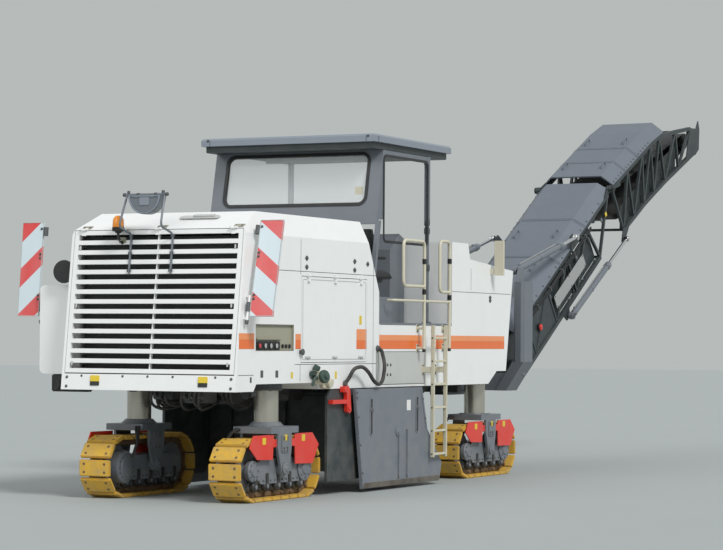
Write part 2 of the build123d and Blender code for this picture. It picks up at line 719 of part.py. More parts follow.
# Side plates that slide up along the housing
plate_outline = [
    (1590, 40), (3610, 40), (3680, 250), (3270, 660), (3120, side_plate_top_z), (1400, side_plate_top_z), (1420, 1000),
]
for name, side in (("right", -1), ("left", 1)):
    y0 = side * side_plate_y
    y1 = side * (side_plate_y + side_plate_thickness)
    plate = side_prism(plate_outline, min(y0, y1), max(y0, y1))
    for x in (2500, 2720):
        plate += block(x - 15, x + 15, y1, y1 + side * 20, 140, 640)
    save(plate, "side_plate_" + name)

# Red lock linkage ahead of the side plate
lock_y = -wall_outer_y
lock = block(930, 1290, lock_y - 55, lock_y, 985, 1030)
lock += side_prism([(1180, 1170), (1300, 1180), (1345, 1130), (1375, 900), (1330, 880), (1280, 900),
                    (1265, 1110), (1180, 1110)], lock_y - 56, lock_y - 11)
lock += cross_rod(1325, lock_y - 66, lock_y, 935, 26)
lock += cross_rod(1220, lock_y - 66, lock_y - 11, 1140, 22)
save(lock, "gate_lock")

# Collecting conveyor
run_x = collector_length * math.cos(math.radians(collector_angle))
collector = Pos(collector_start_x, 0, collector_start_z) * Rot(0, -collector_angle, 0) * (
    block(0, collector_length, -collector_half_width, collector_half_width, 0, collector_height)
    - block(-1, collector_length + 1, -collector_half_width + 50, collector_half_width - 50, 200, collector_height + 1)
)
save(collector, "collecting_conveyor")

# Lamp panels beside the nose
panel_x = front_low_x - 520
panel_z0 = front_top_z - 75
panel = block(panel_x, panel_x + 40, -body_half_width - 180, -body_half_width - 60, panel_z0, panel_z0 + 430)
panel += block(panel_x + 10, panel_x + 30, -body_half_width - 70, -body_half_width, panel_z0 + 20, panel_z0 + 80)
panels = both_sides(panel)
save(panels, "lamp_panels")

# Hazard boards at the rear corners, each on a post with two arms
board_foot_z = 1910
post_reach = 26


def hazard_board(side, x, y, lean):
    """A board that turns on a post at x and y; side is 1 where the board lies towards plus Y."""
    y0, y1 = sorted((side * post_reach, side * (post_reach + board_width)))
    board = block(-8, 8, y0, y1, 0, board_height)
    for z in (60, board_height - 140):
        y0, y1 = sorted((0, side * (post_reach + 4)))
        board += Pos(0, 0, z + 40) * Cylinder(20, 80) + block(-6, 6, y0, y1, z, z + 80)
    board -= Pos(0, 0, board_height / 2) * Cylinder(12 + pin_running, board_height + 40)
    return Pos(x, y, board_foot_z) * Rot(0, lean, 0) * board


def board_post(x, y, lean, y_wall):
    """The fixed post and its arms, from the wall at y_wall."""
    post = Pos(x, y, board_foot_z) * Rot(0, lean, 0) * Pos(0, 0, 90) * Cylinder(12, 260)
    arms = Part()
    for z in (board_foot_z - 30, board_foot_z + 195):
        arm_x = x + (z + 12 - board_foot_z) * math.tan(math.radians(lean))
        y0, y1 = sorted((y, y_wall))
        arms += block(arm_x - 14, arm_x + 14, y0, y1, z, z + 24)
    return post + arms


board_right_x = -970
board_left_x = -750
board_right_y = -body_half_width - 40
board_left_y = body_half_width + tank_depth + 20
board_right = (board_right_x, board_right_y, board_lean_right)
board_left = (board_left_x, board_left_y, board_lean_left)
save(hazard_board(-1, *board_right), "hazard_board_right")
save(hazard_board(1, *board_left), "hazard_board_left")
save(tank + board_post(*board_left, body_half_width + tank_depth), "left_tank")
save(hood + board_post(*board_right, -body_half_width), "engine_hood")

# Slewing console and everything beyond it is drawn straight ahead, then slewed to rest
slewed = Pos(slew_x, 0, 0) * Rot(0, 0, slew_rest)
luff_sin = math.sin(math.radians(luff_rest))
luff_cos = math.cos(math.radians(luff_rest))


def on_section(u, v):
    """A place on the lower section: u along it from the luffing pivot, v square to it."""
    return luff_x + u * luff_cos - v * luff_sin, luff_z + u * luff_sin + v * luff_cos


fold_x, fold_z = on_section(section_length, section_depth / 2 + 15)


def on_tip(u, w):
    """A place on the tip section, level and upright from the folding pivot."""
    return fold_x + u, fold_z + w


def at_y(point, y):
    return point[0], y, point[1]


# Yoke with its cross beam, posts, luffing pins and the slewing cylinder's arm
yoke_mid_z = yoke_low_z + yoke_height / 2
post_outer_y = post_inner_y + post_width
yoke = Pos(0, 0, yoke_mid_z) * Cylinder(yoke_radius, yoke_height)
foot_y = post_outer_y - foot_inset
yoke += block(60, 220, -foot_y, foot_y, yoke_low_z, yoke_top_z)
yoke += block(-45, 45, -yoke_arm, 0, yoke_top_z - 30, yoke_top_z)
yoke += Pos(0, -yoke_arm, yoke_top_z - 15) * Cylinder(45, 30)
yoke -= Pos(0, 0, yoke_mid_z) * Cylinder(slew_pin_radius + pin_running, yoke_height + 10)
post = block(post_x0, post_x1, post_inner_y, post_outer_y, post_knee_z, post_top_z)
post = chamfer(post.edges().filter_by(Axis.Z), post_chamfer)
knee = [(post_inner_y, post_knee_z), (post_outer_y, post_knee_z), (post_outer_y - foot_inset, yoke_low_z),
        (post_inner_y - foot_inset, yoke_low_z)]
post += Pos(post_x0, 0, 0) * extrude(make_face(Plane.YZ * Polyline(*knee, close=True)), post_x1 - post_x0, dir=(1, 0, 0))
post += cross_rod(luff_x - 60, post_inner_y - 5, post_inner_y + 60, luff_z, 110)
yoke += both_sides(post)
luff_pin_end = post_inner_y + 20
for side in (-1, 1):
    y0, y1 = sorted((side * (belt_half_width - 50), side * luff_pin_end))
    yoke += cross_rod(luff_x, y0, y1, luff_z, luff_pin_radius)
# Ears for the luffing cylinders' barrels at the posts' tops
luff_anchor = (230, 2600)
luff_cylinder_y = 645
luff_eye_half = 30
for side in (-1, 1):
    y0, y1 = sorted((side * (luff_cylinder_y - luff_eye_half - 4), side * (post_inner_y + 20)))
    yoke += cross_rod(luff_anchor[0], y0, y1, luff_anchor[1], slew_eye_pin)
    y0, y1 = sorted((side * post_inner_y, side * (post_inner_y + 30)))
    yoke += side_prism([(post_x0 + post_chamfer, post_top_z - 60), (luff_anchor[0] - 60, luff_anchor[1] + 40),
                        (luff_anchor[0] + 50, luff_anchor[1] + 40), (post_x1 - post_chamfer, post_top_z - 60)], y0, y1)
save(slewed * yoke, "slewing_yoke")


def truss_side(top, bottom, y):
    """Two chords joined by uprights and diagonals, in a plane at y."""
    bars = []
    for line in (top, bottom):
        for p, q in zip(line, line[1:]):
            bars.append(bar(at_y(p, y), at_y(q, y), chord, chord))
    for p, q in zip(top, bottom):
        bars.append(bar(at_y(p, y), at_y(q, y), web, web))
    for p, q in zip(bottom, top[1:]):
        bars.append(bar(at_y(p, y), at_y(q, y), web, web))
    return bars


side_y = belt_half_width - chord / 2
half_depth = section_depth / 2 - chord / 2
# Lower section of the discharge conveyor
lower_top = [on_section(u, half_depth) for u in (-100, 700, 1450, 2200, 2950, section_length - 100)]
lower_bottom = [on_section(u, -half_depth) for u in (100, 700, 1450, 2200, section_bottom_length)]
members = []
for y in (-side_y, side_y):
    members += truss_side(lower_top, lower_bottom, y)
for p in lower_top[1:] + lower_bottom:
    members.append(bar(at_y(p, -side_y), at_y(p, side_y), web, web))
lower_section = members[0].fuse(*members[1:])
sheet_end = 1450
side_sheet = [on_section(u, v) for u, v in (
    (-100, half_depth), (sheet_end, half_depth), (sheet_end, -half_depth), (100, -half_depth))]
skirt = [on_section(u, v) for u, v in ((sheet_end - 20, 150), (3050, 150), (3050, -285), (sheet_end - 20, -285))]
for side in (-1, 1):
    y0, y1 = sorted((side * (belt_half_width - 40), side * (belt_half_width - 20)))
    lower_section += side_prism(side_sheet, y0, y1)
    y0, y1 = sorted((side * skirt_y, side * (skirt_y + skirt_sheet)))
    lower_section += side_prism(skirt, y0, y1)
    y0, y1 = sorted((side * (belt_half_width - 50), side * (belt_half_width + 20)))
    lower_section += cross_rod(luff_x, y0, y1, luff_z, luff_pin_radius + 40)
lower_section -= cross_rod(luff_x, -900, 900, luff_z, luff_pin_radius + pin_running)
# Ears of the folding hinge and its pins
lower_ear = [on_section(section_length - 260, half_depth - 20), on_section(section_length - 260, half_depth + 20),
             (fold_x + 10, fold_z + 30), (fold_x + 30, fold_z - 20)]
fold_eye = 48
for side in (-1, 1):
    y0, y1 = sorted((side * (belt_half_width - 40), side * (belt_half_width - 10)))
    lower_section += side_prism(lower_ear, y0, y1) + cross_rod(fold_x, y0, y1, fold_z, fold_eye)
    y0, y1 = sorted((side * (belt_half_width - 40), side * (belt_half_width + 35)))
    lower_section += cross_rod(fold_x, y0, y1, fold_z, fold_pin_radius)
# Lugs for the luffing cylinders' rods and pins for the folding cylinders' barrels
luff_lug = on_section(2430, section_depth / 2 + 130)
fold_anchor = on_section(1750, -385)
fold_cylinder_y = 625
for side in (-1, 1):
    y0, y1 = sorted((side * belt_half_width, side * (belt_half_width + 25)))
    lower_section += side_prism([on_section(2300, half_depth), on_section(2390, section_depth / 2 + 160),
                                 on_section(2470, section_depth / 2 + 160), on_section(2560, half_depth)], y0, y1)
    y0, y1 = sorted((side * (belt_half_width - 20), side * (belt_half_width)))
    lower_section += side_prism([on_section(1640, -half_depth), on_section(1700, -430), on_section(1800, -430),
                                 on_section(1860, -half_depth)], y0, y1)
    y0, y1 = sorted((side * (belt_half_width - 20), side * (fold_cylinder_y + luff_eye_half + 5)))
    lower_section += cross_rod(fold_anchor[0], y0, y1, fold_anchor[1], slew_eye_pin)
save(slewed * lower_section, "conveyor_lower_section")

# Tip section
tip_rise = 0.539
tip_bend_u = 1430
tip_top = [on_tip(u, 20 + tip_rise * (u - 90)) for u in (90, 620, 1130, tip_bend_u)]
tip_top += [on_tip(u, w) for u, w in ((1740, 872), (2320, 985), (2860, 1073))]
tip_bottom = [on_tip(u, w) for u, w in ((500, -560), (850, -360), (1200, -155), (1550, 25), (1950, 225), (2450, 455), (3000, 710))]
members = []
for y in (-side_y, side_y):
    members += truss_side(tip_top, tip_bottom, y)
for p in tip_top[:-1] + tip_bottom[:-1]:
    members.append(bar(at_y(p, -side_y), at_y(p, side_y), web, web))
tip_section = members[0].fuse(*members[1:])
head_plate = [on_tip(u, w) for u, w in (
    (2700, 600), (2840, 1085), (3070, 1090), (3150, 1215), (tip_end, 1090), (tip_end - 20, 780), (3050, 690))]
tip_ear = [on_tip(-30, -30), on_tip(-14, 30), on_tip(90, 45), on_tip(260, 130), on_tip(280, 60)]
for side in (-1, 1):
    y0, y1 = sorted((side * (belt_half_width - 15), side * belt_half_width))
    tip_section += side_prism(head_plate, y0, y1)
    y0, y1 = sorted((side * (belt_half_width - 5), side * (belt_half_width + 30)))
    tip_section += side_prism(tip_ear, y0, y1) + cross_rod(fold_x, y0, y1, fold_z, fold_eye)
tip_section -= cross_rod(fold_x, -900, 900, fold_z, fold_pin_radius + pin_running)
fold_lug = on_tip(420, -700)
tip_skirt = tip_bottom[:-1] + [(x, z + 330) for x, z in reversed(tip_bottom[:-1])]
for side in (-1, 1):
    y0, y1 = sorted((side * (belt_half_width - tip_lug_seat), side * (belt_half_width + tip_lug_reach)))
    tip_section += side_prism([on_tip(430, -540), on_tip(380, -740), on_tip(460, -760), on_tip(640, -480)], y0, y1)
    y0, y1 = sorted((side * skirt_y, side * (skirt_y + skirt_sheet)))
    tip_section += side_prism(tip_skirt, y0, y1)
save(slewed * tip_section, "conveyor_tip_section")


def cover_between(p, q, rise):
    """A crowned sheet from p to q along the top chords."""
    start = Vector(p[0], 0, p[1])
    run = Vector(q[0], 0, q[1]) - start
    seat = Plane(origin=start, x_dir=(0, 1, 0), z_dir=run)
    edge = belt_half_width
    crown = cover_crown_half_width
    t = cover_sheet
    section = Polyline((-edge, 0), (-crown, rise), (crown, rise), (edge, 0), (edge - t - 8, 0),
                       (crown - 6, rise - t), (-crown + 6, rise - t), (-edge + t + 8, 0), close=True)
    return extrude(seat * make_face(section), run.length, dir=run)


top_v = section_depth / 2 + seat_gap
lower_cover = cover_between(on_section(300, top_v), on_section(section_length - 20, top_v), cover_rise)
ear_room = [on_section(section_length + u, v) for u, v in ((-290, 300), (-290, 325), (10, 375), (60, 300))]
for side in (-1, 1):
    y0, y1 = sorted((side * (belt_half_width - 50), side * (belt_half_width + 10)))
    lower_cover -= side_prism(ear_room, y0, y1)
    lower_cover -= cross_rod(fold_x, y0, y1, fold_z, fold_eye + 10)
save(slewed * lower_cover, "conveyor_lower_cover")
cover_lift = chord / 2 + 2 * seat_gap


def above_chord(p, q, start, end):
    """Two places over the chord from p to q, each at its share of the way along."""
    run_u, run_w = q[0] - p[0], q[1] - p[1]
    length = math.hypot(run_u, run_w)
    off_u, off_w = -cover_lift * run_w / length, cover_lift * run_u / length
    return [(p[0] + t * run_u + off_u, p[1] + t * run_w + off_w) for t in (start, end)]


tip_cover = cover_between(*above_chord(tip_top[0], tip_top[3], 0.02, 1.006), tip_cover_rise)
tip_cover += cover_between(*above_chord(tip_top[3], tip_top[4], -0.02, 1.4), tip_cover_rise)
save(slewed * tip_cover, "conveyor_tip_cover")

# Belt: a run above and a run below, round a pulley at each end
tail = on_section(120, -60)
head = on_tip(3000, 900)
tail_radius = 190
head_radius = 120


def belt_run(p, q):
    return bar(at_y(p, 0), at_y(q, 0), 2 * belt_reach, belt_thickness)


lower_belt = cross_rod(tail[0], -belt_reach, belt_reach, tail[1], tail_radius)
shaft_y = belt_half_width - 40 - seat_gap
lower_belt += cross_rod(tail[0], -shaft_y, shaft_y, tail[1], 36)
lower_belt += belt_run(on_section(120, tail_radius - 60), on_section(section_length - 120, tail_radius - 60))
lower_belt += belt_run(on_section(120, -tail_radius - 60), on_section(section_bottom_length, -tail_radius - 60))
save(slewed * lower_belt, "conveyor_lower_belt")
tip_belt = cross_rod(head[0], -belt_reach, belt_reach, head[1], head_radius)
shaft_y = belt_half_width - 15 - seat_gap
tip_belt += cross_rod(head[0], -shaft_y, shaft_y, head[1], 36)
tip_belt += belt_run(on_tip(60, -130), (head[0] - 40, head[1] + head_radius - 14))
tip_belt += belt_run(on_tip(560, -400), (head[0] + 40, head[1] - head_radius + 14))
save(slewed * tip_belt, "conveyor_tip_belt")


def cylinder_barrel(a, b, y, length, radius, rod_radius, eye_half):
    """A barrel that turns on a pin at a and points at b, with its eye across the machine."""
    start = Vector(a[0], y, a[1])
    run = Vector(b[0], y, b[1]) - start
    seat = Plane(origin=start, z_dir=run)
    body = seat * Pos(0, 0, 45 + (length - 45) / 2) * Cylinder(radius, length - 45)
    body -= seat * Pos(0, 0, 90 + length / 2) * Cylinder(rod_radius + seat_gap, length)
    body -= seat * Pos(0, 0, (90 + length - 60) / 2) * Cylinder(rod_radius + 4, length - 60 - 90)
    eye = cross_rod(a[0], y - eye_half, y + eye_half, a[1], 50)
    body += eye
    return body - cross_rod(a[0], y - eye_half - 1, y + eye_half + 1, a[1], slew_eye_pin + pin_running)


def cylinder_rod(a, b, y, length, radius, eye_half):
    """A rod that ends in an eye at b and reaches back towards a."""
    end = Vector(b[0], y, b[1])
    run = Vector(a[0], y, a[1]) - end
    seat = Plane(origin=end, z_dir=run)
    body = seat * Pos(0, 0, length / 2) * Cylinder(radius, length)
    return body + cross_rod(b[0], y - eye_half, y + eye_half, b[1], 42)


luff_barrel = Part()
luff_rod = Part()
fold_barrel = Part()
fold_rod = Part()
for side in (-1, 1):
    y = side * luff_cylinder_y
    luff_barrel += cylinder_barrel(luff_anchor, luff_lug, y, 1400, 42, 24, luff_eye_half)
    luff_rod += cylinder_rod(luff_anchor, luff_lug, y, 1050, 24, luff_eye_half)
    y = side * fold_cylinder_y
    fold_barrel += cylinder_barrel(fold_anchor, fold_lug, y, 1380, 42, 24, luff_eye_half)
    fold_rod += cylinder_rod(fold_anchor, fold_lug, y, 1150, 24, luff_eye_half)
save(slewed * luff_barrel, "luffing_barrel")
save(slewed * luff_rod, "luffing_rod")
save(slewed * fold_barrel, "folding_barrel")
save(slewed * fold_rod, "folding_rod")

# Slewing cylinder, level between the tongue's ears and the yoke's arm
arm_angle = math.radians(-90 + slew_rest)
arm_end = Vector(slew_x + yoke_arm * math.cos(arm_angle), yoke_arm * math.sin(arm_angle), slew_cylinder_z)
anchor = Vector(slew_anchor_x, slew_anchor_y, slew_cylinder_z)
run = arm_end - anchor
barrel_seat = Plane(origin=anchor, z_dir=run)
barrel_length = 800
barrel = barrel_seat * Pos(0, 0, (45 + barrel_length) / 2) * Cylinder(36, barrel_length - 45)
barrel -= barrel_seat * Pos(0, 0, 90 + barrel_length / 2) * Cylinder(slew_rod_radius + seat_gap, barrel_length)
barrel -= barrel_seat * Pos(0, 0, (90 + barrel_length - 60) / 2) * Cylinder(slew_rod_radius + 4, barrel_length - 150)
barrel += Pos(*anchor) * Cylinder(50, 2 * slew_eye_half)
barrel -= Pos(*anchor) * Cylinder(slew_eye_pin + pin_running, 3 * slew_eye_half)
save(barrel, "slewing_barrel")
rod_seat = Plane(origin=arm_end, z_dir=anchor - arm_end)
slewing_rod_length = 780
slewing_rod = rod_seat * Pos(0, 0, slewing_rod_length / 2) * Cylinder(slew_rod_radius, slewing_rod_length)
slewing_rod += Pos(*arm_end) * Cylinder(42, 2 * slew_eye_half)
save(slewing_rod, "slewing_rod")
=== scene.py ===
import math
import bmesh
import bpy
from mathutils import Matrix, Vector


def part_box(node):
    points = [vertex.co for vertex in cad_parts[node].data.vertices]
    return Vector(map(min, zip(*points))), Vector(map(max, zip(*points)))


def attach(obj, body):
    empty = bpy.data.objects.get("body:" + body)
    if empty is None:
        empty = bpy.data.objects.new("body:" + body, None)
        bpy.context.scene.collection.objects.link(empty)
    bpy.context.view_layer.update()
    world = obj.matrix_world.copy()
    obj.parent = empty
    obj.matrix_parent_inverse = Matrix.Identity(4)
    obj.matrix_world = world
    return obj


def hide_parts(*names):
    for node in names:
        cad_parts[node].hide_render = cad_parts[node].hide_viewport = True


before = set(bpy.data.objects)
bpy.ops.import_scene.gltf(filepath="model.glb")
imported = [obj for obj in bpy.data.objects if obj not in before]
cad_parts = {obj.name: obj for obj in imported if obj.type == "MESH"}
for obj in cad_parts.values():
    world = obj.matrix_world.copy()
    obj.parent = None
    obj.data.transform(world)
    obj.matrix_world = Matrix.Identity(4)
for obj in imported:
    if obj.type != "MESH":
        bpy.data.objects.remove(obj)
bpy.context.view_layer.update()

# The drawing's own zero lies at the rear columns; these bring its millimetres into the frame
drawing = {"originX": 6065.5, "originY": 235.0, "slewX": 6800.0, "slewDegrees": -4.3}
slewTurn = Matrix.Rotation(math.radians(drawing["slewDegrees"]), 4, "Z")


def spot(x, y, z):
    return Vector(((x - drawing["originX"]) / 1000, (y - drawing["originY"]) / 1000, z / 1000))


def spotRow(*points):
    return [spot(*point) for point in points]


# A corner in the frame, back in the drawing's millimetres
def toDrawing(corner):
    return corner[0] * 1000 + drawing["originX"], corner[1] * 1000 + drawing["originY"], corner[2] * 1000


# A place on the discharge conveyor, measured from the slewing axis as if it lay straight ahead
def boomSpot(s, y, z):
    turned = slewTurn @ Vector((s / 1000, y / 1000, 0))
    base = spot(drawing["slewX"], 0, z)
    return Vector((base.x + turned.x, base.y + turned.y, base.z))


boom = {"luffX": 300, "luffZ": 1350, "luffDegrees": 34.8, "length": 3890, "depth": 650}


# A place on the lower section: u along it from its pivot, v square to it, y across
def onSection(u, v, y):
    turn = math.radians(boom["luffDegrees"])
    along = boom["luffX"] + u * math.cos(turn) - v * math.sin(turn)
    return boomSpot(along, y, boom["luffZ"] + u * math.sin(turn) + v * math.cos(turn))


# A place on the tip section: u level and w upright from the folding pin, y across
def onTip(u, w, y):
    turn = math.radians(boom["luffDegrees"])
    pinU, pinV = boom["length"], boom["depth"] / 2 + 15
    along = boom["luffX"] + pinU * math.cos(turn) - pinV * math.sin(turn) + u
    return boomSpot(along, y, boom["luffZ"] + pinU * math.sin(turn) + pinV * math.cos(turn) + w)


# Axes for a small piece: its own X and Z are given, and its sizes are then in millimetres from the origin
def seatAt(origin, alongX, alongZ):
    xAxis = Vector(alongX).normalized()
    zAxis = (Vector(alongZ) - xAxis * Vector(alongZ).dot(xAxis)).normalized()
    turn = Matrix((xAxis, zAxis.cross(xAxis), zAxis)).transposed().to_4x4()
    return Matrix.Translation(origin) @ turn


def seatWay(seat, x, y, z):
    return seat.to_3x3() @ Vector((x, y, z))


def sectionSeat(u, v, y):
    return seatAt(onSection(u, v, y), onSection(u + 100, v, y) - onSection(u, v, y),
                  onSection(u, v + 100, y) - onSection(u, v, y))


# Effects shared by the materials
def newGroup(name, inputs, outputs):
    group = bpy.data.node_groups.new(name, "ShaderNodeTree")
    for label, value in inputs.items():
        kind = "NodeSocketColor" if isinstance(value, tuple) else "NodeSocketFloat"
        group.interface.new_socket(name=label, in_out="INPUT", socket_type=kind).default_value = value
    for label in outputs:
        kind = {"Color": "NodeSocketColor", "Normal": "NodeSocketVector"}.get(label, "NodeSocketFloat")
        group.interface.new_socket(name=label, in_out="OUTPUT", socket_type=kind)
    return group, group.nodes.new("NodeGroupInput").outputs, group.nodes.new("NodeGroupOutput").inputs


def objectPlace(tree):
    return tree.nodes.new("ShaderNodeTexCoord").outputs["Object"]


def mathNode(tree, operation, a, b, clamp=False):
    node = tree.nodes.new("ShaderNodeMath")
    node.operation = operation
    node.use_clamp = clamp
    for slotIndex, value in ((0, a), (1, b)):
        if isinstance(value, (int, float)):
            node.inputs[slotIndex].default_value = value
        elif value is not None:
            tree.links.new(value, node.inputs[slotIndex])
    return node.outputs[0]


def noiseNode(tree, vector, scale, detail=4.0, roughness=0.55):
    node = tree.nodes.new("ShaderNodeTexNoise")
    node.inputs["Detail"].default_value = detail
    node.inputs["Roughness"].default_value = roughness
    if isinstance(scale, (int, float)):
        node.inputs["Scale"].default_value = scale
    else:
        tree.links.new(scale, node.inputs["Scale"])
    tree.links.new(vector, node.inputs["Vector"])
    return node.outputs["Fac"]


def rangeNode(tree, value, low, high, toLow=0.0, toHigh=1.0):
    node = tree.nodes.new("ShaderNodeMapRange")
    tree.links.new(value, node.inputs["Value"])
    for label, number in (("From Min", low), ("From Max", high), ("To Min", toLow), ("To Max", toHigh)):
        if isinstance(number, (int, float)):
            node.inputs[label].default_value = number
        else:
            tree.links.new(number, node.inputs[label])
    return node.outputs["Result"]


def mixNode(tree, factor, colorA, colorB):
    node = tree.nodes.new("ShaderNodeMix")
    node.data_type = "RGBA"
    tree.links.new(factor, node.inputs[0])
    for socket, value in ((node.inputs[6], colorA), (node.inputs[7], colorB)):
        if isinstance(value, (tuple, list)):
            socket.default_value = value
        else:
            tree.links.new(value, socket)
    return node.outputs[2]


# Road dust that lies thickest low down, in patches
def buildDustGroup():
    group, entry, leave = newGroup("dustCoat", {
        "Color": (0.8, 0.8, 0.8, 1), "Dust Color": (0.4, 0.37, 0.32, 1), "Low": 0.0, "High": 1.5, "Amount": 0.4,
        "Patch Scale": 5.0}, ("Color", "Mask"))
    place = objectPlace(group)
    split = group.nodes.new("ShaderNodeSeparateXYZ")
    group.links.new(place, split.inputs[0])
    fall = rangeNode(group, split.outputs["Z"], entry["High"], entry["Low"])
    patches = rangeNode(group, noiseNode(group, place, entry["Patch Scale"], 6.0, 0.65), 0.36, 0.66)
    specks = rangeNode(group, noiseNode(group, place, 60.0, 3.0, 0.7), 0.45, 0.7, 0.55, 1.0)
    base = mathNode(group, "ADD", mathNode(group, "MULTIPLY", fall, 0.75), 0.25)
    mask = mathNode(group, "MULTIPLY", mathNode(group, "MULTIPLY", base, patches), specks)
    mask = mathNode(group, "MULTIPLY", mask, entry["Amount"], clamp=True)
    group.links.new(mixNode(group, mask, entry["Color"], entry["Dust Color"]), leave["Color"])
    group.links.new(mask, leave["Mask"])
    return group


# Slow shifts of tone, as sun and washing leave on a large painted sheet
def buildToneGroup():
    group, entry, leave = newGroup("tonePatches", {
        "Color": (0.8, 0.8, 0.8, 1), "Shade": (0.6, 0.6, 0.6, 1), "Amount": 0.3, "Scale": 1.2}, ("Color",))
    place = objectPlace(group)
    stretch = group.nodes.new("ShaderNodeMapping")
    stretch.inputs["Scale"].default_value = (1.0, 1.0, 0.35)
    group.links.new(place, stretch.inputs["Vector"])
    broad = rangeNode(group, noiseNode(group, stretch.outputs[0], entry["Scale"], 5.0, 0.6), 0.3, 0.75)
    mask = mathNode(group, "MULTIPLY", broad, entry["Amount"], clamp=True)
    group.links.new(mixNode(group, mask, entry["Color"], entry["Shade"]), leave["Color"])
    return group


# Rounded edges for the light, and a mask of where the paint is rubbed off them
def buildEdgeGroup():
    group, entry, leave = newGroup("edgeWear", {"Radius": 0.004, "Amount": 0.5, "Scale": 25.0}, ("Mask", "Normal"))
    bevel = group.nodes.new("ShaderNodeBevel")
    bevel.samples = 4
    group.links.new(entry["Radius"], bevel.inputs["Radius"])
    geometry = group.nodes.new("ShaderNodeNewGeometry")
    dot = group.nodes.new("ShaderNodeVectorMath")
    dot.operation = "DOT_PRODUCT"
    group.links.new(bevel.outputs[0], dot.inputs[0])
    group.links.new(geometry.outputs["Normal"], dot.inputs[1])
    edge = rangeNode(group, dot.outputs["Value"], 0.995, 0.9)
    place = objectPlace(group)
    broken = rangeNode(group, noiseNode(group, place, entry["Scale"], 5.0, 0.7), 0.5, 0.62)
    mask = mathNode(group, "MULTIPLY", mathNode(group, "MULTIPLY", edge, broken), entry["Amount"], clamp=True)
    group.links.new(mask, leave["Mask"])
    group.links.new(bevel.outputs[0], leave["Normal"])
    return group


# Fine unevenness of a sprayed, cast or woven surface, with a roughness that varies with it
def buildGrainGroup():
    group, entry, leave = newGroup(
        "surfaceGrain", {"Scale": 180.0, "Roughness": 0.45, "Spread": 0.12}, ("Height", "Roughness"))
    place = objectPlace(group)
    fine = noiseNode(group, place, entry["Scale"], 3.0, 0.6)
    broad = noiseNode(group, place, 7.0, 4.0, 0.6)
    shift = mathNode(group, "MULTIPLY", mathNode(group, "SUBTRACT", broad, 0.5), entry["Spread"])
    rough = mathNode(group, "ADD", mathNode(group, "MULTIPLY", shift, 2.0), entry["Roughness"], clamp=True)
    group.links.new(fine, leave["Height"])
    group.links.new(rough, leave["Roughness"])
    return group


# Slanting bands across a flat board, one mask for both colours
def buildBandGroup():
    group, entry, leave = newGroup(
        "slantedBands", {"Slant": 1.0, "Pitch": 0.45, "Shift": 0.0, "Share": 0.42}, ("Mask",))
    place = objectPlace(group)
    split = group.nodes.new("ShaderNodeSeparateXYZ")
    group.links.new(place, split.inputs[0])
    across = mathNode(group, "MULTIPLY", split.outputs["Y"], entry["Slant"])
    run = mathNode(group, "ADD", mathNode(group, "ADD", split.outputs["Z"], across), entry["Shift"])
    turn = mathNode(group, "FRACT", mathNode(group, "DIVIDE", run, entry["Pitch"]), None)
    group.links.new(mathNode(group, "LESS_THAN", turn, entry["Share"]), leave["Mask"])
    return group


dustGroup = buildDustGroup()
toneGroup = buildToneGroup()
edgeGroup = buildEdgeGroup()
grainGroup = buildGrainGroup()
bandGroup = buildBandGroup()
print("shared effects built")


def useGroup(tree, group, values):
    node = tree.nodes.new("ShaderNodeGroup")
    node.node_tree = group
    for label, value in values.items():
        if hasattr(value, "is_output"):
            tree.links.new(value, node.inputs[label])
        else:
            node.inputs[label].default_value = value
    return node


def shade(color, factor):
    return tuple(min(1.0, c * factor) for c in color[:3]) + (1.0,)


# One coated surface: a colour that shifts, dust low down, rubbed edges and a fine grain
plainLook = {
    "color": (0.5, 0.5, 0.5, 1), "toneAmount": 0.35, "toneShade": 0.86, "toneScale": 1.1,
    "dust": (0.36, 0.33, 0.28, 1), "dustLow": 0.1, "dustHigh": 1.6, "dustAmount": 0.35, "dustScale": 5.0,
    "wear": (0.30, 0.29, 0.27, 1), "wearAmount": 0.5, "edgeRadius": 0.004,
    "roughness": 0.42, "spread": 0.10, "grain": 220.0, "bump": 0.02, "bumpDistance": 0.0006,
    "metallic": 0.0, "coat": 0.0, "specular": 0.5,
}


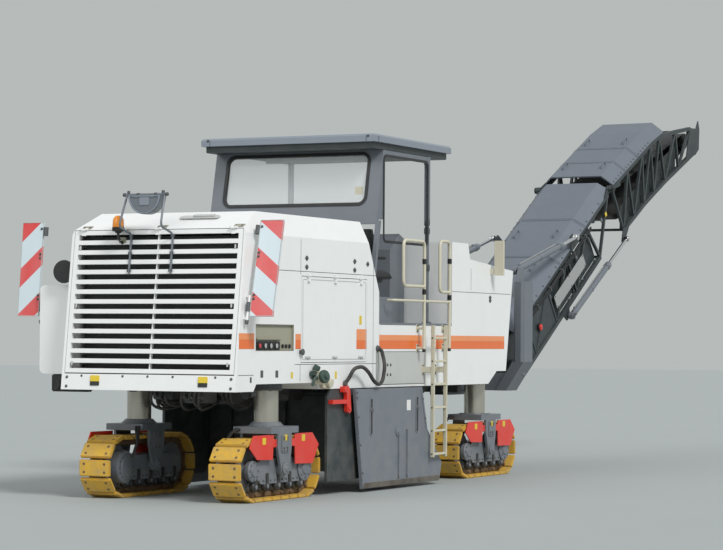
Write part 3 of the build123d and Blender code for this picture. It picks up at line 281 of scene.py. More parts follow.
def coated(name, **changes):
    look = dict(plainLook)
    look.update(changes)
    material = bpy.data.materials.new(name)
    material.use_nodes = True
    tree = material.node_tree
    shader = tree.nodes["Principled BSDF"]
    bands = look.get("bands")
    color = look["color"]
    if bands:
        mask = useGroup(tree, bandGroup, {"Slant": bands[1], "Pitch": bands[2], "Shift": bands[3]}).outputs["Mask"]
        color = mixNode(tree, mask, look["color"], bands[0])
    tone = useGroup(tree, toneGroup, {
        "Color": color, "Shade": shade(look["color"], look["toneShade"]), "Amount": look["toneAmount"],
        "Scale": look["toneScale"]})
    edge = useGroup(tree, edgeGroup, {"Radius": look["edgeRadius"], "Amount": look["wearAmount"]})
    worn = mixNode(tree, edge.outputs["Mask"], tone.outputs["Color"], look["wear"])
    dust = useGroup(tree, dustGroup, {
        "Color": worn, "Dust Color": look["dust"], "Low": look["dustLow"], "High": look["dustHigh"],
        "Amount": look["dustAmount"], "Patch Scale": look["dustScale"]})
    tree.links.new(dust.outputs["Color"], shader.inputs["Base Color"])
    grain = useGroup(tree, grainGroup, {
        "Scale": look["grain"], "Roughness": look["roughness"], "Spread": look["spread"]})
    dulled = mathNode(tree, "ADD", grain.outputs["Roughness"],
                      mathNode(tree, "MULTIPLY", dust.outputs["Mask"], 0.35), clamp=True)
    tree.links.new(dulled, shader.inputs["Roughness"])
    bump = tree.nodes.new("ShaderNodeBump")
    bump.inputs["Strength"].default_value = look["bump"]
    bump.inputs["Distance"].default_value = look["bumpDistance"]
    tree.links.new(grain.outputs["Height"], bump.inputs["Height"])
    tree.links.new(edge.outputs["Normal"], bump.inputs["Normal"])
    tree.links.new(bump.outputs["Normal"], shader.inputs["Normal"])
    shader.inputs["Metallic"].default_value = look["metallic"]
    shader.inputs["Coat Weight"].default_value = look["coat"]
    shader.inputs["Specular IOR Level"].default_value = look["specular"]
    return material


def clearGlass(name, color, roughness, alpha):
    material = bpy.data.materials.new(name)
    material.use_nodes = True
    shader = material.node_tree.nodes["Principled BSDF"]
    shader.inputs["Base Color"].default_value = color
    shader.inputs["Metallic"].default_value = 0.0
    shader.inputs["Transmission Weight"].default_value = 0.0
    shader.inputs["Alpha"].default_value = alpha
    grain = useGroup(material.node_tree, grainGroup, {"Scale": 12.0, "Roughness": roughness, "Spread": 0.05})
    material.node_tree.links.new(grain.outputs["Roughness"], shader.inputs["Roughness"])
    return material


paint = {
    "white": coated("whitePaint", color=(0.88, 0.885, 0.87, 1), toneShade=0.92, dustAmount=0.22, coat=0.25,
                    roughness=0.34, wearAmount=0.35),
    "slate": coated("slatePaint", color=(0.155, 0.175, 0.20, 1), wear=(0.36, 0.37, 0.38, 1), dustAmount=0.38,
                    roughness=0.40, coat=0.1),
    "sidePlate": coated("sidePlatePaint", color=(0.155, 0.175, 0.205, 1), wear=(0.42, 0.42, 0.42, 1), dustAmount=0.42,
                        roughness=0.44, wearAmount=0.8, toneAmount=0.5, toneShade=1.25),
    "frame": coated("darkFramePaint", color=(0.030, 0.040, 0.043, 1), wear=(0.20, 0.20, 0.19, 1), dustAmount=0.34,
                    roughness=0.48, toneShade=1.6),
    "cover": coated("coverGrey", color=(0.135, 0.155, 0.185, 1), wear=(0.24, 0.26, 0.28, 1), dustAmount=0.3,
                    roughness=0.5, toneShade=1.2, grain=420.0, bump=0.08),
    "trackYellow": coated("trackYellow", color=(0.70, 0.41, 0.040, 1), dust=(0.33, 0.25, 0.16, 1), dustAmount=0.75,
                          dustHigh=2.2, wear=(0.22, 0.13, 0.06, 1), wearAmount=0.9, roughness=0.62, dustScale=9.0),
    "chainSteel": coated("chainSteel", color=(0.16, 0.095, 0.050, 1), dust=(0.30, 0.22, 0.14, 1), dustAmount=0.8,
                         dustHigh=2.0, metallic=0.35, roughness=0.62, wear=(0.4, 0.36, 0.3, 1), dustScale=14.0),
    "guardRed": coated("guardRed", color=(0.74, 0.022, 0.008, 1), toneShade=1.18, dustAmount=0.25, roughness=0.38,
                       coat=0.2),
    "markYellow": coated("markYellow", color=(0.80, 0.58, 0.03, 1), dustAmount=0.2, roughness=0.45),
    "columnSteel": coated("columnSteel", color=(0.50, 0.48, 0.41, 1), metallic=0.75, roughness=0.30, dustAmount=0.4,
                          dustHigh=1.4, wearAmount=0.0, grain=90.0),
    "chrome": coated("rodChrome", color=(0.72, 0.72, 0.72, 1), metallic=1.0, roughness=0.14, spread=0.05,
                     dustAmount=0.12, wearAmount=0.0),
    "drumSteel": coated("drumSteel", color=(0.14, 0.12, 0.10, 1), metallic=0.6, roughness=0.52, dustAmount=0.7,
                        wear=(0.45, 0.42, 0.38, 1), wearAmount=0.9, bump=0.3, bumpDistance=0.002),
    "carbide": coated("carbideTips", color=(0.42, 0.41, 0.39, 1), metallic=0.9, roughness=0.35, dustAmount=0.3),
    "rubber": coated("beltRubber", color=(0.022, 0.022, 0.024, 1), wearAmount=0.2, wear=(0.08, 0.08, 0.08, 1),
                     roughness=0.7, dustAmount=0.45, dustHigh=4.5, bump=0.15),
    "seat": coated("seatCover", color=(0.016, 0.016, 0.018, 1), wearAmount=0.0, roughness=0.55, dustAmount=0.15,
                   dustHigh=3.2, grain=650.0, bump=0.35, edgeRadius=0.001),
    "cream": coated("creamPaint", color=(0.66, 0.62, 0.48, 1), dustAmount=0.3, roughness=0.42, wearAmount=0.6),
    "khaki": coated("khakiPlate", color=(0.36, 0.345, 0.26, 1), dustAmount=0.3, roughness=0.5),
    "panelGrey": coated("panelGrey", color=(0.56, 0.57, 0.55, 1), dustAmount=0.35, roughness=0.42),
    "black": coated("blackPlastic", color=(0.012, 0.013, 0.014, 1), dustAmount=0.2, roughness=0.42, wearAmount=0.0),
    "radiator": coated("radiatorCore", color=(0.010, 0.012, 0.013, 1), dustAmount=0.15, roughness=0.6,
                       wearAmount=0.0, grain=900.0, bump=0.5),
    "castGrey": coated("castGrey", color=(0.10, 0.105, 0.11, 1), metallic=0.3, roughness=0.55, dustAmount=0.4,
                       bump=0.25, bumpDistance=0.0015),
    "orange": coated("orangeStripe", color=(0.86, 0.165, 0.018, 1), dustAmount=0.12, roughness=0.36, coat=0.25),
    "orangePale": coated("orangeStripePale", color=(0.90, 0.30, 0.10, 1), dustAmount=0.12, roughness=0.36,
                         coat=0.25),
    "amber": coated("amberLens", color=(0.92, 0.30, 0.012, 1), dustAmount=0.05, roughness=0.16, coat=0.6,
                    wearAmount=0.0),
    "redLens": coated("redLens", color=(0.62, 0.015, 0.012, 1), dustAmount=0.05, roughness=0.16, coat=0.6),
    "silver": coated("brightSteel", color=(0.60, 0.60, 0.58, 1), metallic=0.9, roughness=0.3, dustAmount=0.2),
    "bandRight": coated("hazardBandsRight", color=(0.66, 0.76, 0.80, 1), dustAmount=0.15, roughness=0.34, coat=0.2,
                        bands=((0.74, 0.014, 0.007, 1), -0.75, 0.455, 0.2)),
    "bandLeft": coated("hazardBandsLeft", color=(0.66, 0.76, 0.80, 1), dustAmount=0.15, roughness=0.34, coat=0.2,
                       bands=((0.74, 0.014, 0.007, 1), 0.90, 0.49, 0.255)),
    "slateLight": coated("roofSlate", color=(0.235, 0.270, 0.315, 1), wear=(0.4, 0.41, 0.42, 1), dustAmount=0.3,
                         dustHigh=4.5, roughness=0.42, coat=0.15),
    "label": coated("blankLabel", color=(0.82, 0.82, 0.80, 1), dustAmount=0.1, roughness=0.4, wearAmount=0.2),
    "greenDark": coated("couplingGreen", color=(0.035, 0.075, 0.060, 1), dustAmount=0.3, roughness=0.45),
    "glass": clearGlass("canopyGlass", (0.78, 0.82, 0.82, 1), 0.06, 0.30),
    "lensClear": clearGlass("lampLens", (0.80, 0.82, 0.80, 1), 0.10, 0.55),
}
print("materials built")

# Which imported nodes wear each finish, and the same for the parts of each leg
finishNodes = {
    "frame": ("chassis_frame", "slewing_bracket", "drum_housing", "collecting_conveyor", "scraper",
              "conveyor_lower_section", "conveyor_tip_section"),
    "white": ("engine_hood", "left_tank", "front_body", "grille_door", "service_door"),
    "slate": ("platform", "console", "canopy_frame", "rear_lamp_frame", "slewing_yoke", "slewing_barrel",
              "luffing_barrel", "folding_barrel"),
    "cream": ("handrails", "ladder", "lamp_panels"), "chrome": ("slewing_rod", "luffing_rod", "folding_rod"),
    "cover": ("conveyor_lower_cover", "conveyor_tip_cover"), "rubber": ("conveyor_lower_belt", "conveyor_tip_belt"),
    "sidePlate": ("side_plate_right", "side_plate_left"), "slateLight": ("canopy_roof",),
    "castGrey": ("engine_block",), "radiator": ("radiator",), "seat": ("seats",), "guardRed": ("gate_lock",),
    "drumSteel": ("milling_drum",), "bandRight": ("hazard_board_right",), "bandLeft": ("hazard_board_left",),
}
legFinish = {"column_": "columnSteel", "track_loop_": "trackYellow", "track_frame_": "slate",
             "track_covers_": "guardRed"}
legNames = ("rear_right", "rear_left", "front_right", "front_left")
nodeFinish = {nodeName: finish for finish, nodes in finishNodes.items() for nodeName in nodes}
nodeFinish.update({start + legName: finish for legName in legNames for start, finish in legFinish.items()})
for nodeName, finish in nodeFinish.items():
    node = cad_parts[nodeName]
    node.data.materials.clear()
    node.data.materials.append(paint[finish])
print("packed nodes dressed")


# Ways of making pieces
axisX, axisY, axisZ = Vector((1, 0, 0)), Vector((0, 1, 0)), Vector((0, 0, 1))
bodyHalf = 1045  # half the body's width in millimetres


def newMeshes(count):
    return [bmesh.new() for i in range(count)]


def place(bm, name, finish, body, smooth=35):
    mesh = bpy.data.meshes.new(name)
    bmesh.ops.recalc_face_normals(bm, faces=bm.faces)
    bm.to_mesh(mesh)
    bm.free()
    mesh.shade_smooth()
    mesh.set_sharp_from_angle(angle=math.radians(smooth))
    mesh.materials.append(paint[finish])
    piece = bpy.data.objects.new(name, mesh)
    bpy.context.scene.collection.objects.link(piece)
    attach(piece, body)
    return piece


def placeAll(body, *pieces):
    for bm, name, finish in pieces:
        place(bm, name, finish, body)


def addBlock(bm, corner, opposite, bevel=0.003, matrix=None):
    low = Vector([min(a, b) for a, b in zip(corner, opposite)])
    high = Vector([max(a, b) for a, b in zip(corner, opposite)])
    made = bmesh.ops.create_cube(bm, size=1.0)["verts"]
    for vert in made:
        vert.co = Vector([(low[i] + high[i]) / 2 + vert.co[i] * (high[i] - low[i]) for i in range(3)])
    edges = list({edge for vert in made for edge in vert.link_edges})
    reach = min(high[i] - low[i] for i in range(3))
    if bevel > 0:
        out = bmesh.ops.bevel(bm, geom=edges, offset=min(bevel, reach * 0.45), segments=2, affect="EDGES",
                              clamp_overlap=True)
        made = list({vert for face in out["faces"] for vert in face.verts} | {v for v in made if v.is_valid})
    if matrix is not None:
        bmesh.ops.transform(bm, matrix=matrix, verts=made)
    return made


# Walls between rings of as many points; an open row of rings is capped, a closed one meets its start
def bridgeRings(bm, rings, closed=False):
    for low, high in zip(rings, rings[1:] + (rings[:1] if closed else [])):
        for i in range(len(low)):
            after = (i + 1) % len(low)
            bm.faces.new((low[i], low[after], high[after], high[i]))
    if not closed:
        bm.faces.new(rings[0][::-1])
        bm.faces.new(rings[-1])


# Rings round an axis, from (distance along the axis, radius) pairs
def turnedRings(bm, start, axis, profile, sides):
    turn = Vector(axis).normalized().to_track_quat("Z", "Y").to_matrix()
    rings = []
    for along, radius in profile:
        angles = [2 * math.pi * i / sides for i in range(sides)]
        offsets = [Vector((radius * math.cos(angle), radius * math.sin(angle), along)) for angle in angles]
        rings.append([bm.verts.new(Vector(start) + turn @ offset) for offset in offsets])
    return rings


def addTurned(bm, start, axis, profile, sides=24):
    bridgeRings(bm, turnedRings(bm, start, axis, profile, sides))


# A turned ring with a hole, its section closed on itself
def addRing(bm, start, axis, section, sides=36):
    bridgeRings(bm, turnedRings(bm, start, axis, section, sides), closed=True)


# A bar's line with its corners rounded, for rails and pipes that are bent once and stay
def roundedLine(points, bend, steps=6):
    points = [Vector(p) for p in points]
    line = [points[0]]
    for before, corner, after in zip(points, points[1:], points[2:]):
        reach = min(bend, (before - corner).length * 0.48, (after - corner).length * 0.48)
        start = corner + (before - corner).normalized() * reach
        end = corner + (after - corner).normalized() * reach
        for i in range(steps + 1):
            t = i / steps
            line.append(start * (1 - t) ** 2 + corner * 2 * t * (1 - t) + end * t ** 2)
    line.append(points[-1])
    return line


def addPipe(bm, points, radius, bend=0.06, sides=12):
    line = roundedLine(points, bend)
    side = None
    rings = []
    for i, point in enumerate(line):
        ahead = (line[min(i + 1, len(line) - 1)] - line[max(i - 1, 0)]).normalized()
        if side is None:
            side = ahead.orthogonal().normalized()
        side = (side - ahead * side.dot(ahead)).normalized()
        other = ahead.cross(side)
        ring = []
        for k in range(sides):
            angle = 2 * math.pi * k / sides
            ring.append(bm.verts.new(point + (side * math.cos(angle) + other * math.sin(angle)) * radius))
        rings.append(ring)
    bridgeRings(bm, rings)


def addBolt(bm, point, axis, radius=0.012, height=0.009):
    addTurned(bm, point, axis, [(-0.002, radius * 1.5), (0.002, radius * 1.5)], 12)
    addTurned(bm, point, axis, [(0.0, radius), (height * 0.8, radius), (height, radius * 0.86)], 6)


# Bolts in a circle, in the plane of two directions
def addBoltCircle(bm, centre, across, up, reach, count, axis, radius, height, turn=0.0):
    for i in range(count):
        angle = turn + 2 * math.pi * i / count
        addBolt(bm, centre + (across * math.cos(angle) + up * math.sin(angle)) * reach, axis, radius, height)


# A flat shape with thickness: points in the plane of the two given directions
def addPlate(bm, outline, origin, across, up, thickness, bevel=0.0):
    across, up, origin = Vector(across).normalized(), Vector(up).normalized(), Vector(origin)
    out = across.cross(up)
    front = [bm.verts.new(origin + across * a + up * b + out * thickness) for a, b in outline]
    back = [bm.verts.new(origin + across * a + up * b) for a, b in outline]
    faces = [bm.faces.new(front), bm.faces.new(back[::-1])]
    count = len(outline)
    for i in range(count):
        faces.append(bm.faces.new((back[i], back[(i + 1) % count], front[(i + 1) % count], front[i])))
    if bevel > 0:
        edges = list(faces[0].edges)
        bmesh.ops.bevel(bm, geom=edges, offset=bevel, segments=2, affect="EDGES", clamp_overlap=True)


def roundedRectangle(width, height, radius, steps=4):
    outline = []
    for cx, cy, start in ((1, 1, 0), (-1, 1, 90), (-1, -1, 180), (1, -1, 270)):
        for i in range(steps + 1):
            angle = math.radians(start + 90 * i / steps)
            outline.append((cx * (width / 2 - radius) + radius * math.cos(angle),
                            cy * (height / 2 - radius) + radius * math.sin(angle)))
    return outline


# A box in the drawing's millimetres, or in a seat's own
def addBox(bm, xs, ys, zs, bevel=3.0, seat=None):
    if seat is None:
        return addBlock(bm, spot(xs[0], ys[0], zs[0]), spot(xs[1], ys[1], zs[1]), bevel / 1000)
    low, high = Vector((xs[0], ys[0], zs[0])) / 1000, Vector((xs[1], ys[1], zs[1])) / 1000
    return addBlock(bm, low, high, bevel / 1000, seat)


# A flat frame between two outlines of as many points, such as a window's rubber
def addFrame(bm, outer, inner, seat, depth):
    rows = []
    for outline, level in ((outer, 0), (outer, depth), (inner, depth), (inner, 0)):
        rows.append([bm.verts.new(seat @ Vector((a / 1000, level / 1000, b / 1000))) for a, b in outline])
    bridgeRings(bm, rows, closed=True)


def shiftOutline(outline, across, up):
    return [(a + across, b + up) for a, b in outline]


# A flat plate on a seat, its outline in the seat's X and Z, its thickness towards minus Y
def addSheet(bm, outline, seat, thickness, bevel=0.0):
    points = [(a / 1000, b / 1000) for a, b in outline]
    turn = seat.to_3x3()
    addPlate(bm, points, seat.translation, turn @ axisX, turn @ axisZ, thickness / 1000, bevel / 1000)


# Camera, lights, floor
view = {"lens": 122.49, "place": (-28.7755, -13.445, 1.68), "heading": 26.5, "rise": 1.514, "roll": 0.4}


def buildCamera():
    heading, rise, roll = (math.radians(view[key]) for key in ("heading", "rise", "roll"))
    ahead = Vector((math.cos(rise) * math.cos(heading), math.cos(rise) * math.sin(heading), math.sin(rise)))
    right = Vector((math.sin(heading), -math.cos(heading), 0))
    up = right.cross(ahead)
    right, up = right * math.cos(roll) + up * math.sin(roll), up * math.cos(roll) - right * math.sin(roll)
    camera = bpy.data.objects.new("camera", bpy.data.cameras.new("camera"))
    camera.data.lens = view["lens"]
    camera.data.clip_end = 400
    camera.matrix_world = Matrix((
        (right.x, up.x, -ahead.x, view["place"][0]), (right.y, up.y, -ahead.y, view["place"][1]),
        (right.z, up.z, -ahead.z, view["place"][2]), (0, 0, 0, 1)))
    bpy.context.scene.collection.objects.link(camera)
    bpy.context.scene.camera = camera


light = {
    "sunStrength": 2.0, "sunAngle": 16.0, "sunFrom": (-0.55, -1.0, 1.05), "fillStrength": 0.55,
    "fillFrom": (-1.0, 0.35, 0.6), "worldColor": (0.86, 0.90, 0.92, 1), "worldStrength": 0.62,
    "backdrop": (0.47, 0.50, 0.49, 1), "floor": (0.385, 0.415, 0.405, 1),
}


def buildStage():
    for name, strength, direction, angle in (
            ("keySun", light["sunStrength"], light["sunFrom"], light["sunAngle"]),
            ("fillSun", light["fillStrength"], light["fillFrom"], 40.0)):
        lamp = bpy.data.lights.new(name, "SUN")
        lamp.energy = strength
        lamp.angle = math.radians(angle)
        holder = bpy.data.objects.new(name, lamp)
        holder.rotation_euler = Vector(direction).to_track_quat("Z", "Y").to_euler()
        bpy.context.scene.collection.objects.link(holder)
    world = bpy.data.worlds.new("studio")
    world.use_nodes = True
    bpy.context.scene.world = world
    tree = world.node_tree
    tree.nodes.clear()
    ambient = tree.nodes.new("ShaderNodeBackground")
    ambient.inputs["Color"].default_value = light["worldColor"]
    ambient.inputs["Strength"].default_value = light["worldStrength"]
    behind = tree.nodes.new("ShaderNodeBackground")
    behind.inputs["Color"].default_value = light["backdrop"]
    path = tree.nodes.new("ShaderNodeLightPath")
    mix = tree.nodes.new("ShaderNodeMixShader")
    out = tree.nodes.new("ShaderNodeOutputWorld")
    tree.links.new(path.outputs["Is Camera Ray"], mix.inputs[0])
    tree.links.new(ambient.outputs[0], mix.inputs[1])
    tree.links.new(behind.outputs[0], mix.inputs[2])
    tree.links.new(mix.outputs[0], out.inputs[0])
    bm = bmesh.new()
    bmesh.ops.create_circle(bm, cap_ends=True, radius=120.0, segments=96)
    mesh = bpy.data.meshes.new("floor")
    bm.to_mesh(mesh)
    bm.free()
    floor = bpy.data.objects.new("floor", mesh)
    bpy.context.scene.collection.objects.link(floor)
    mesh.materials.append(coated("paleFloor", color=light["floor"], toneShade=0.92, dustAmount=0.0, wearAmount=0.0,
                                 roughness=0.85, grain=40.0, toneScale=0.4))
    bpy.context.scene.view_settings.view_transform = "Standard"


buildCamera()
buildStage()
print("camera, lights and floor placed")

# Crawler tracks
track = {
    "length": 1780, "height": 650, "padThickness": 40, "padWidth": 370, "padCount": 22, "padGap": 18,
    "linkSpacing": 62, "sideY": 780, "rearX": 0, "frontX": 5400,
}


# A leg's place in the drawing, and which way leads off the machine there
def legPlace(legName):
    outward = 1 if legName.endswith("left") else -1
    return track["frontX"] if legName.startswith("front") else track["rearX"], outward * track["sideY"], outward


def trackPath():
    radius = track["height"] / 2 - track["padThickness"] / 2
    straight = track["length"] - track["height"]
    total = 2 * straight + 2 * math.pi * radius
    places = []
    for i in range(track["padCount"]):
        travel = (i + 0.5) * total / track["padCount"]
        if travel < straight:
            spotX, spotZ, angle = travel - straight / 2, -radius, -90
        elif travel < straight + math.pi * radius:
            angle = -90 + math.degrees((travel - straight) / radius)
            spotX = straight / 2 + radius * math.cos(math.radians(angle))
            spotZ = radius * math.sin(math.radians(angle))
        elif travel < 2 * straight + math.pi * radius:
            spotX, spotZ, angle = straight / 2 - (travel - straight - math.pi * radius), radius, 90
        else:
            angle = 90 + math.degrees((travel - 2 * straight - math.pi * radius) / radius)
            spotX = -straight / 2 + radius * math.cos(math.radians(angle))
            spotZ = radius * math.sin(math.radians(angle))
        places.append((spotX, spotZ + track["height"] / 2, angle, total / track["padCount"]))
    return places


# Local axes on a shoe: X out of the track, Y across it, Z along it
def shoeSeat(x, z, angle, centre):
    turn = Matrix.Rotation(math.radians(-angle), 4, "Y")
    return Matrix.Translation(centre + Vector((x / 1000, 0, z / 1000))) @ turn


def buildTracks():
    for legName in legNames:
        centre = spot(*legPlace(legName)[:2], 0)
        pads, chain = newMeshes(2)
        half = track["padWidth"] / 2000
        for px, pz, angle, pitch in trackPath():
            seat = shoeSeat(px, pz, angle, centre)
            reach = (pitch - track["padGap"]) / 2000
            thick = track["padThickness"] / 2000
            addBlock(pads, (-thick, -half, -reach), (thick, half, reach), 0.008, seat)
            for side in (-1, 1):
                for lane in (-1, 1):
                    bolt = seat @ Vector((thick - 0.001, side * 0.125, lane * reach * 0.5))
                    addBolt(chain, bolt, seatWay(seat, 1, 0, 0), 0.010, 0.001)
                low = side * track["linkSpacing"] / 1000
                addBlock(chain, (-thick - 0.066, low - 0.017, -pitch / 2000 * 1.1),
                         (-thick + 0.001, low + 0.017, pitch / 2000 * 1.1), 0.012, seat)
            pin = seat @ Vector((-thick - 0.034, -0.098, pitch / 2000))
            addTurned(chain, pin, seatWay(seat, 0, 1, 0),
                      [(0, 0.014), (0.006, 0.019), (0.19, 0.019), (0.196, 0.014)], 10)
        padPiece = place(pads, "trackPads_" + legName, "trackYellow", "track_" + legName)
        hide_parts("track_loop_" + legName)
        place(chain, "trackChain_" + legName, "chainSteel", "track_" + legName)


buildTracks()
print("tracks built")

# Drive hubs, rollers, bolts and blank marks on the track frames
undercarriage = {
    "wheelX": 565, "wheelZ": 325, "hubY": 181, "rollerCount": 5, "rollerX0": -495, "rollerStep": 247.5,
    "rollerZ": 157, "frameHalf": 151, "forkY": 228, "footTop": 770,
}


def buildTrackFittings():
    sizes = undercarriage
    for legName in legNames:
        x, y, outward = legPlace(legName)
        body = "track_" + legName
        metal, dark, marks, steel = newMeshes(4)
        hub = spot(x - sizes["wheelX"], y - outward * sizes["hubY"], sizes["wheelZ"])
        inward = Vector((0, -outward, 0))
        addTurned(metal, hub, inward, [(-0.03, 0.150), (0.0, 0.168), (0.008, 0.168), (0.014, 0.158), (0.016, 0.104),
                                       (0.026, 0.098), (0.030, 0.06), (0.030, 0.02)], 40)
        addBoltCircle(steel, hub + inward * 0.013, axisX, axisZ, 0.132, 14, inward, 0.009, 0.008)
        outer = Vector((0, outward, 0))
        for wheelX, radius in ((-sizes["wheelX"], 0.112), (sizes["wheelX"], 0.150)):
            middle = spot(x + wheelX, y + outward * sizes["frameHalf"], sizes["wheelZ"])
            addTurned(metal, middle, outer, [(-0.04, radius * 0.9), (0.0, radius), (0.012, radius),
                                             (0.020, radius * 0.93), (0.022, radius * 0.55), (0.034, radius * 0.5),
                                             (0.036, 0.02)], 36)
            addBoltCircle(steel, middle + outer * 0.021, axisX, axisZ, radius * 0.76, 8, outer, 0.008, 0.007)
        # Roller brackets and hubs along the frame's lower edge, on both sides of it
        for side in (-1, 1):
            out = Vector((0, side, 0))
            for i in range(sizes["rollerCount"]):
                rollerX = x + sizes["rollerX0"] + i * sizes["rollerStep"]
                face = y + side * sizes["frameHalf"]
                addBox(dark, (rollerX - 30, rollerX + 30), (face - side * 4, face + side * 10), (168, 292), 14)
                addTurned(dark, spot(rollerX, face - side * 40, sizes["rollerZ"]), out,
                          [(0.0, 0.058), (0.030, 0.058), (0.040, 0.052), (0.052, 0.030)], 20)
                addTurned(metal, spot(rollerX, face + side * 10, sizes["rollerZ"]), out,
                          [(0.0, 0.024), (0.006, 0.024), (0.010, 0.016)], 12)
                for gapX in (-78, 78):
                    addBolt(steel, spot(rollerX + gapX, face, 215), out, 0.009, 0.010)
        # Fork legs: a doubling plate, two rows of bolts and the pin's cap
        for side in (-1, 1):
            out = Vector((0, side, 0))
            face = y + side * sizes["forkY"]
            plate = seatAt(spot(x, face, 600), (-side, 0, 0), axisZ)
            addSheet(metal, shiftOutline(roundedRectangle(150, 190, 16), 0, -10), plate, 9, 2)
            for boltX in (-34, 34):
                for boltZ in (-70, -40, 50, 70):
                    addBolt(steel, spot(x + boltX, face + side * 9, 590 + boltZ), out, 0.010, 0.010)
            pinFace = spot(x, y + side * 240, 330)
            addTurned(metal, pinFace, out, [(-0.008, 0.064), (0.004, 0.064), (0.010, 0.054), (0.011, 0.030),
                                            (0.020, 0.026)], 28)
            addBoltCircle(steel, pinFace + out * 0.006, axisX, axisZ, 0.044, 6, out, 0.006, 0.006)
        # Steering collar round the column's foot
        tall = 0 if legName.startswith("front") else 0.036
        addRing(metal, spot(x, y, sizes["footTop"]), axisZ,
                [(0.0, 0.1335), (0.0, 0.196), (0.004, 0.196), (0.006, 0.186), (0.009 + tall, 0.150),
                 (0.011 + tall, 0.1335)])
        addBoltCircle(steel, spot(x, y, sizes["footTop"] + 3), axisX, axisY, 0.178, 10, axisZ, 0.009, 0.008,
                      math.pi / 10)
        # Hoses from the drive hub to the foot plate's edge
        for offset in (0, 34):
            hose = spotRow((x - 470, y - outward * 208, 420), (x - 425, y - outward * 246, 570 + offset),
                           (x - 375, y - outward * (222 - offset), 700 + offset / 2),
                           (x - 320, y - outward * (190 - offset), 738), (x - 298, y - outward * (186 - offset), 738))
            addPipe(dark, hose, 0.014, 0.12, 10)
        # Blank yellow marks on the fork and on the guards
        face = y + outward * (sizes["forkY"] + 10)
        plate = seatAt(spot(x, face, 655), (-outward, 0, 0), axisZ)
        addSheet(marks, roundedRectangle(62, 62, 8), plate, 1.5)
        guard = y + outward * (197 + 12)
        for markX, markZ in ((-420, 628), (445, 640)):
            plate = seatAt(spot(x + markX, guard, markZ), (-outward, 0, 0), axisZ)
            addSheet(marks, roundedRectangle(74, 70, 10), plate, 1.5)
        placeAll(body, (metal, "trackHubs_" + legName, "slate"), (steel, "trackBolts_" + legName, "castGrey"),
                 (dark, "trackRollers_" + legName, "black"), (marks, "trackMarks_" + legName, "markYellow"))


buildTrackFittings()
print("track frames fitted out")

# Sleeves of the lifting columns, and what hangs under the machine
underside = {
    "sleeveLow": 1160, "hoseRadius": 0.016, "sideHoseRadius": 0.015,
    "boxes": ((-520, -250, -330, -70, 1010, 1210), (-470, -180, 90, 330, 1040, 1215),
              (150, 620, -260, 230, 985, 1215), (1150, 1500, -420, 420, 1010, 1210)),
    "hoseYs": (-290, -240, -190, -130, -80, 110, 170, 230, 290),
}


def buildUnderside():
    rings, hoses, boxes = newMeshes(3)
    for legName in legNames:
        x, y = legPlace(legName)[:2]
        addRing(rings, spot(x, y, underside["sleeveLow"] - 14), axisZ,
                [(0.0, 0.1345), (0.0, 0.160), (0.008, 0.170), (0.013, 0.170), (0.013, 0.1345)])
        addBoltCircle(rings, spot(x, y, underside["sleeveLow"] - 13), axisX, axisY, 0.152, 8, (0, 0, -1), 0.008, 0.009)
    # Valve blocks and hose runs between the rear beams
    for x0, x1, y0, y1, z0, z1 in underside["boxes"]:
        addBox(boxes, (x0, x1), (y0, y1), (z0, z1), 12)
        for boltY in (y0 + 40, (y0 + y1) / 2, y1 - 40):
            addTurned(boxes, spot(x0, boltY, z0 + 60), (-1, 0, 0),
                      [(-0.01, 0.024), (0.028, 0.024), (0.032, 0.016), (0.05, 0.016)], 12)
    for i, y in enumerate(underside["hoseYs"]):
        drop = 930 + 37 * ((i * 5) % 4)
        line = spotRow((-530 - 12 * (i % 3), y, 1290), (-560, y - 10, 1150), (-555 - 9 * (i % 4), y + 14, drop + 60),
                       (-420, y * 0.8, drop), (-60, y * 0.6, drop + 45), (160, y * 0.6, 1060))
        addPipe(hoses, line, underside["hoseRadius"], 0.16, 10)
    for side in (-1, 1):
        for i in range(3):
            y = side * (380 + i * 34)
            rearLine = spotRow((-280 + 40 * i, y, 1210), (-260 + 40 * i, y + side * 6, 1060 - 20 * i),
                               (-90, y + side * 18, 980 - 26 * i), (260, y, 1000 - 20 * i), (420, y, 1200))
            frontLine = spotRow((5150, y, 1290), (5180, y, 1180 - 16 * i), (5420, y - side * 10, 1130 - 22 * i),
                                (5640, y, 1190))
            for line, bend in ((rearLine, 0.14), (frontLine, 0.12)):
                addPipe(hoses, line, underside["sideHoseRadius"], bend, 10)
    placeAll("chassis", (rings, "columnSleeveRings", "castGrey"), (boxes, "valveBlocks", "castGrey"),
             (hoses, "hydraulicLines", "rubber"))


buildUnderside()
print("underside fitted out")

# Stripes, seams, latches and blank labels on the two white housings
sideFace = {
    "stripeLow": 1580, "stripeSplit": 1676, "stripeHigh": 1740,
    "stripes": ((-1068, -752), (142, 262), (2150, 3280), (3662, 5712)),
    "leftStripe": (520, 2130), "doorStripe": (1575, 1822),
    "uprightSeams": ((252, 1240, 1425), (252, 2365, 2740), (3985, 1890, 2850), (1990, 1240, 2560),
                     (4680, 2300, 2560)),
    "levelSeams": ((-640, 2120, 2402), (2160, 4110, 1856), (4130, 5900, 2268), (-1080, -760, 1314),
                   (130, 2130, 1418)),
    "latches": ((383, 2545), (383, 2450), (1517, 2545), (1517, 2450), (1840, 2526), (5260, 2215), (5260, 2180)),
    "yellowMarks": ((68, 1305, 48, 66), (1081, 1298, 46, 80)), "pads": ((-263, 1321, 60, 74), (-585, 1324, 58, 74)),
}


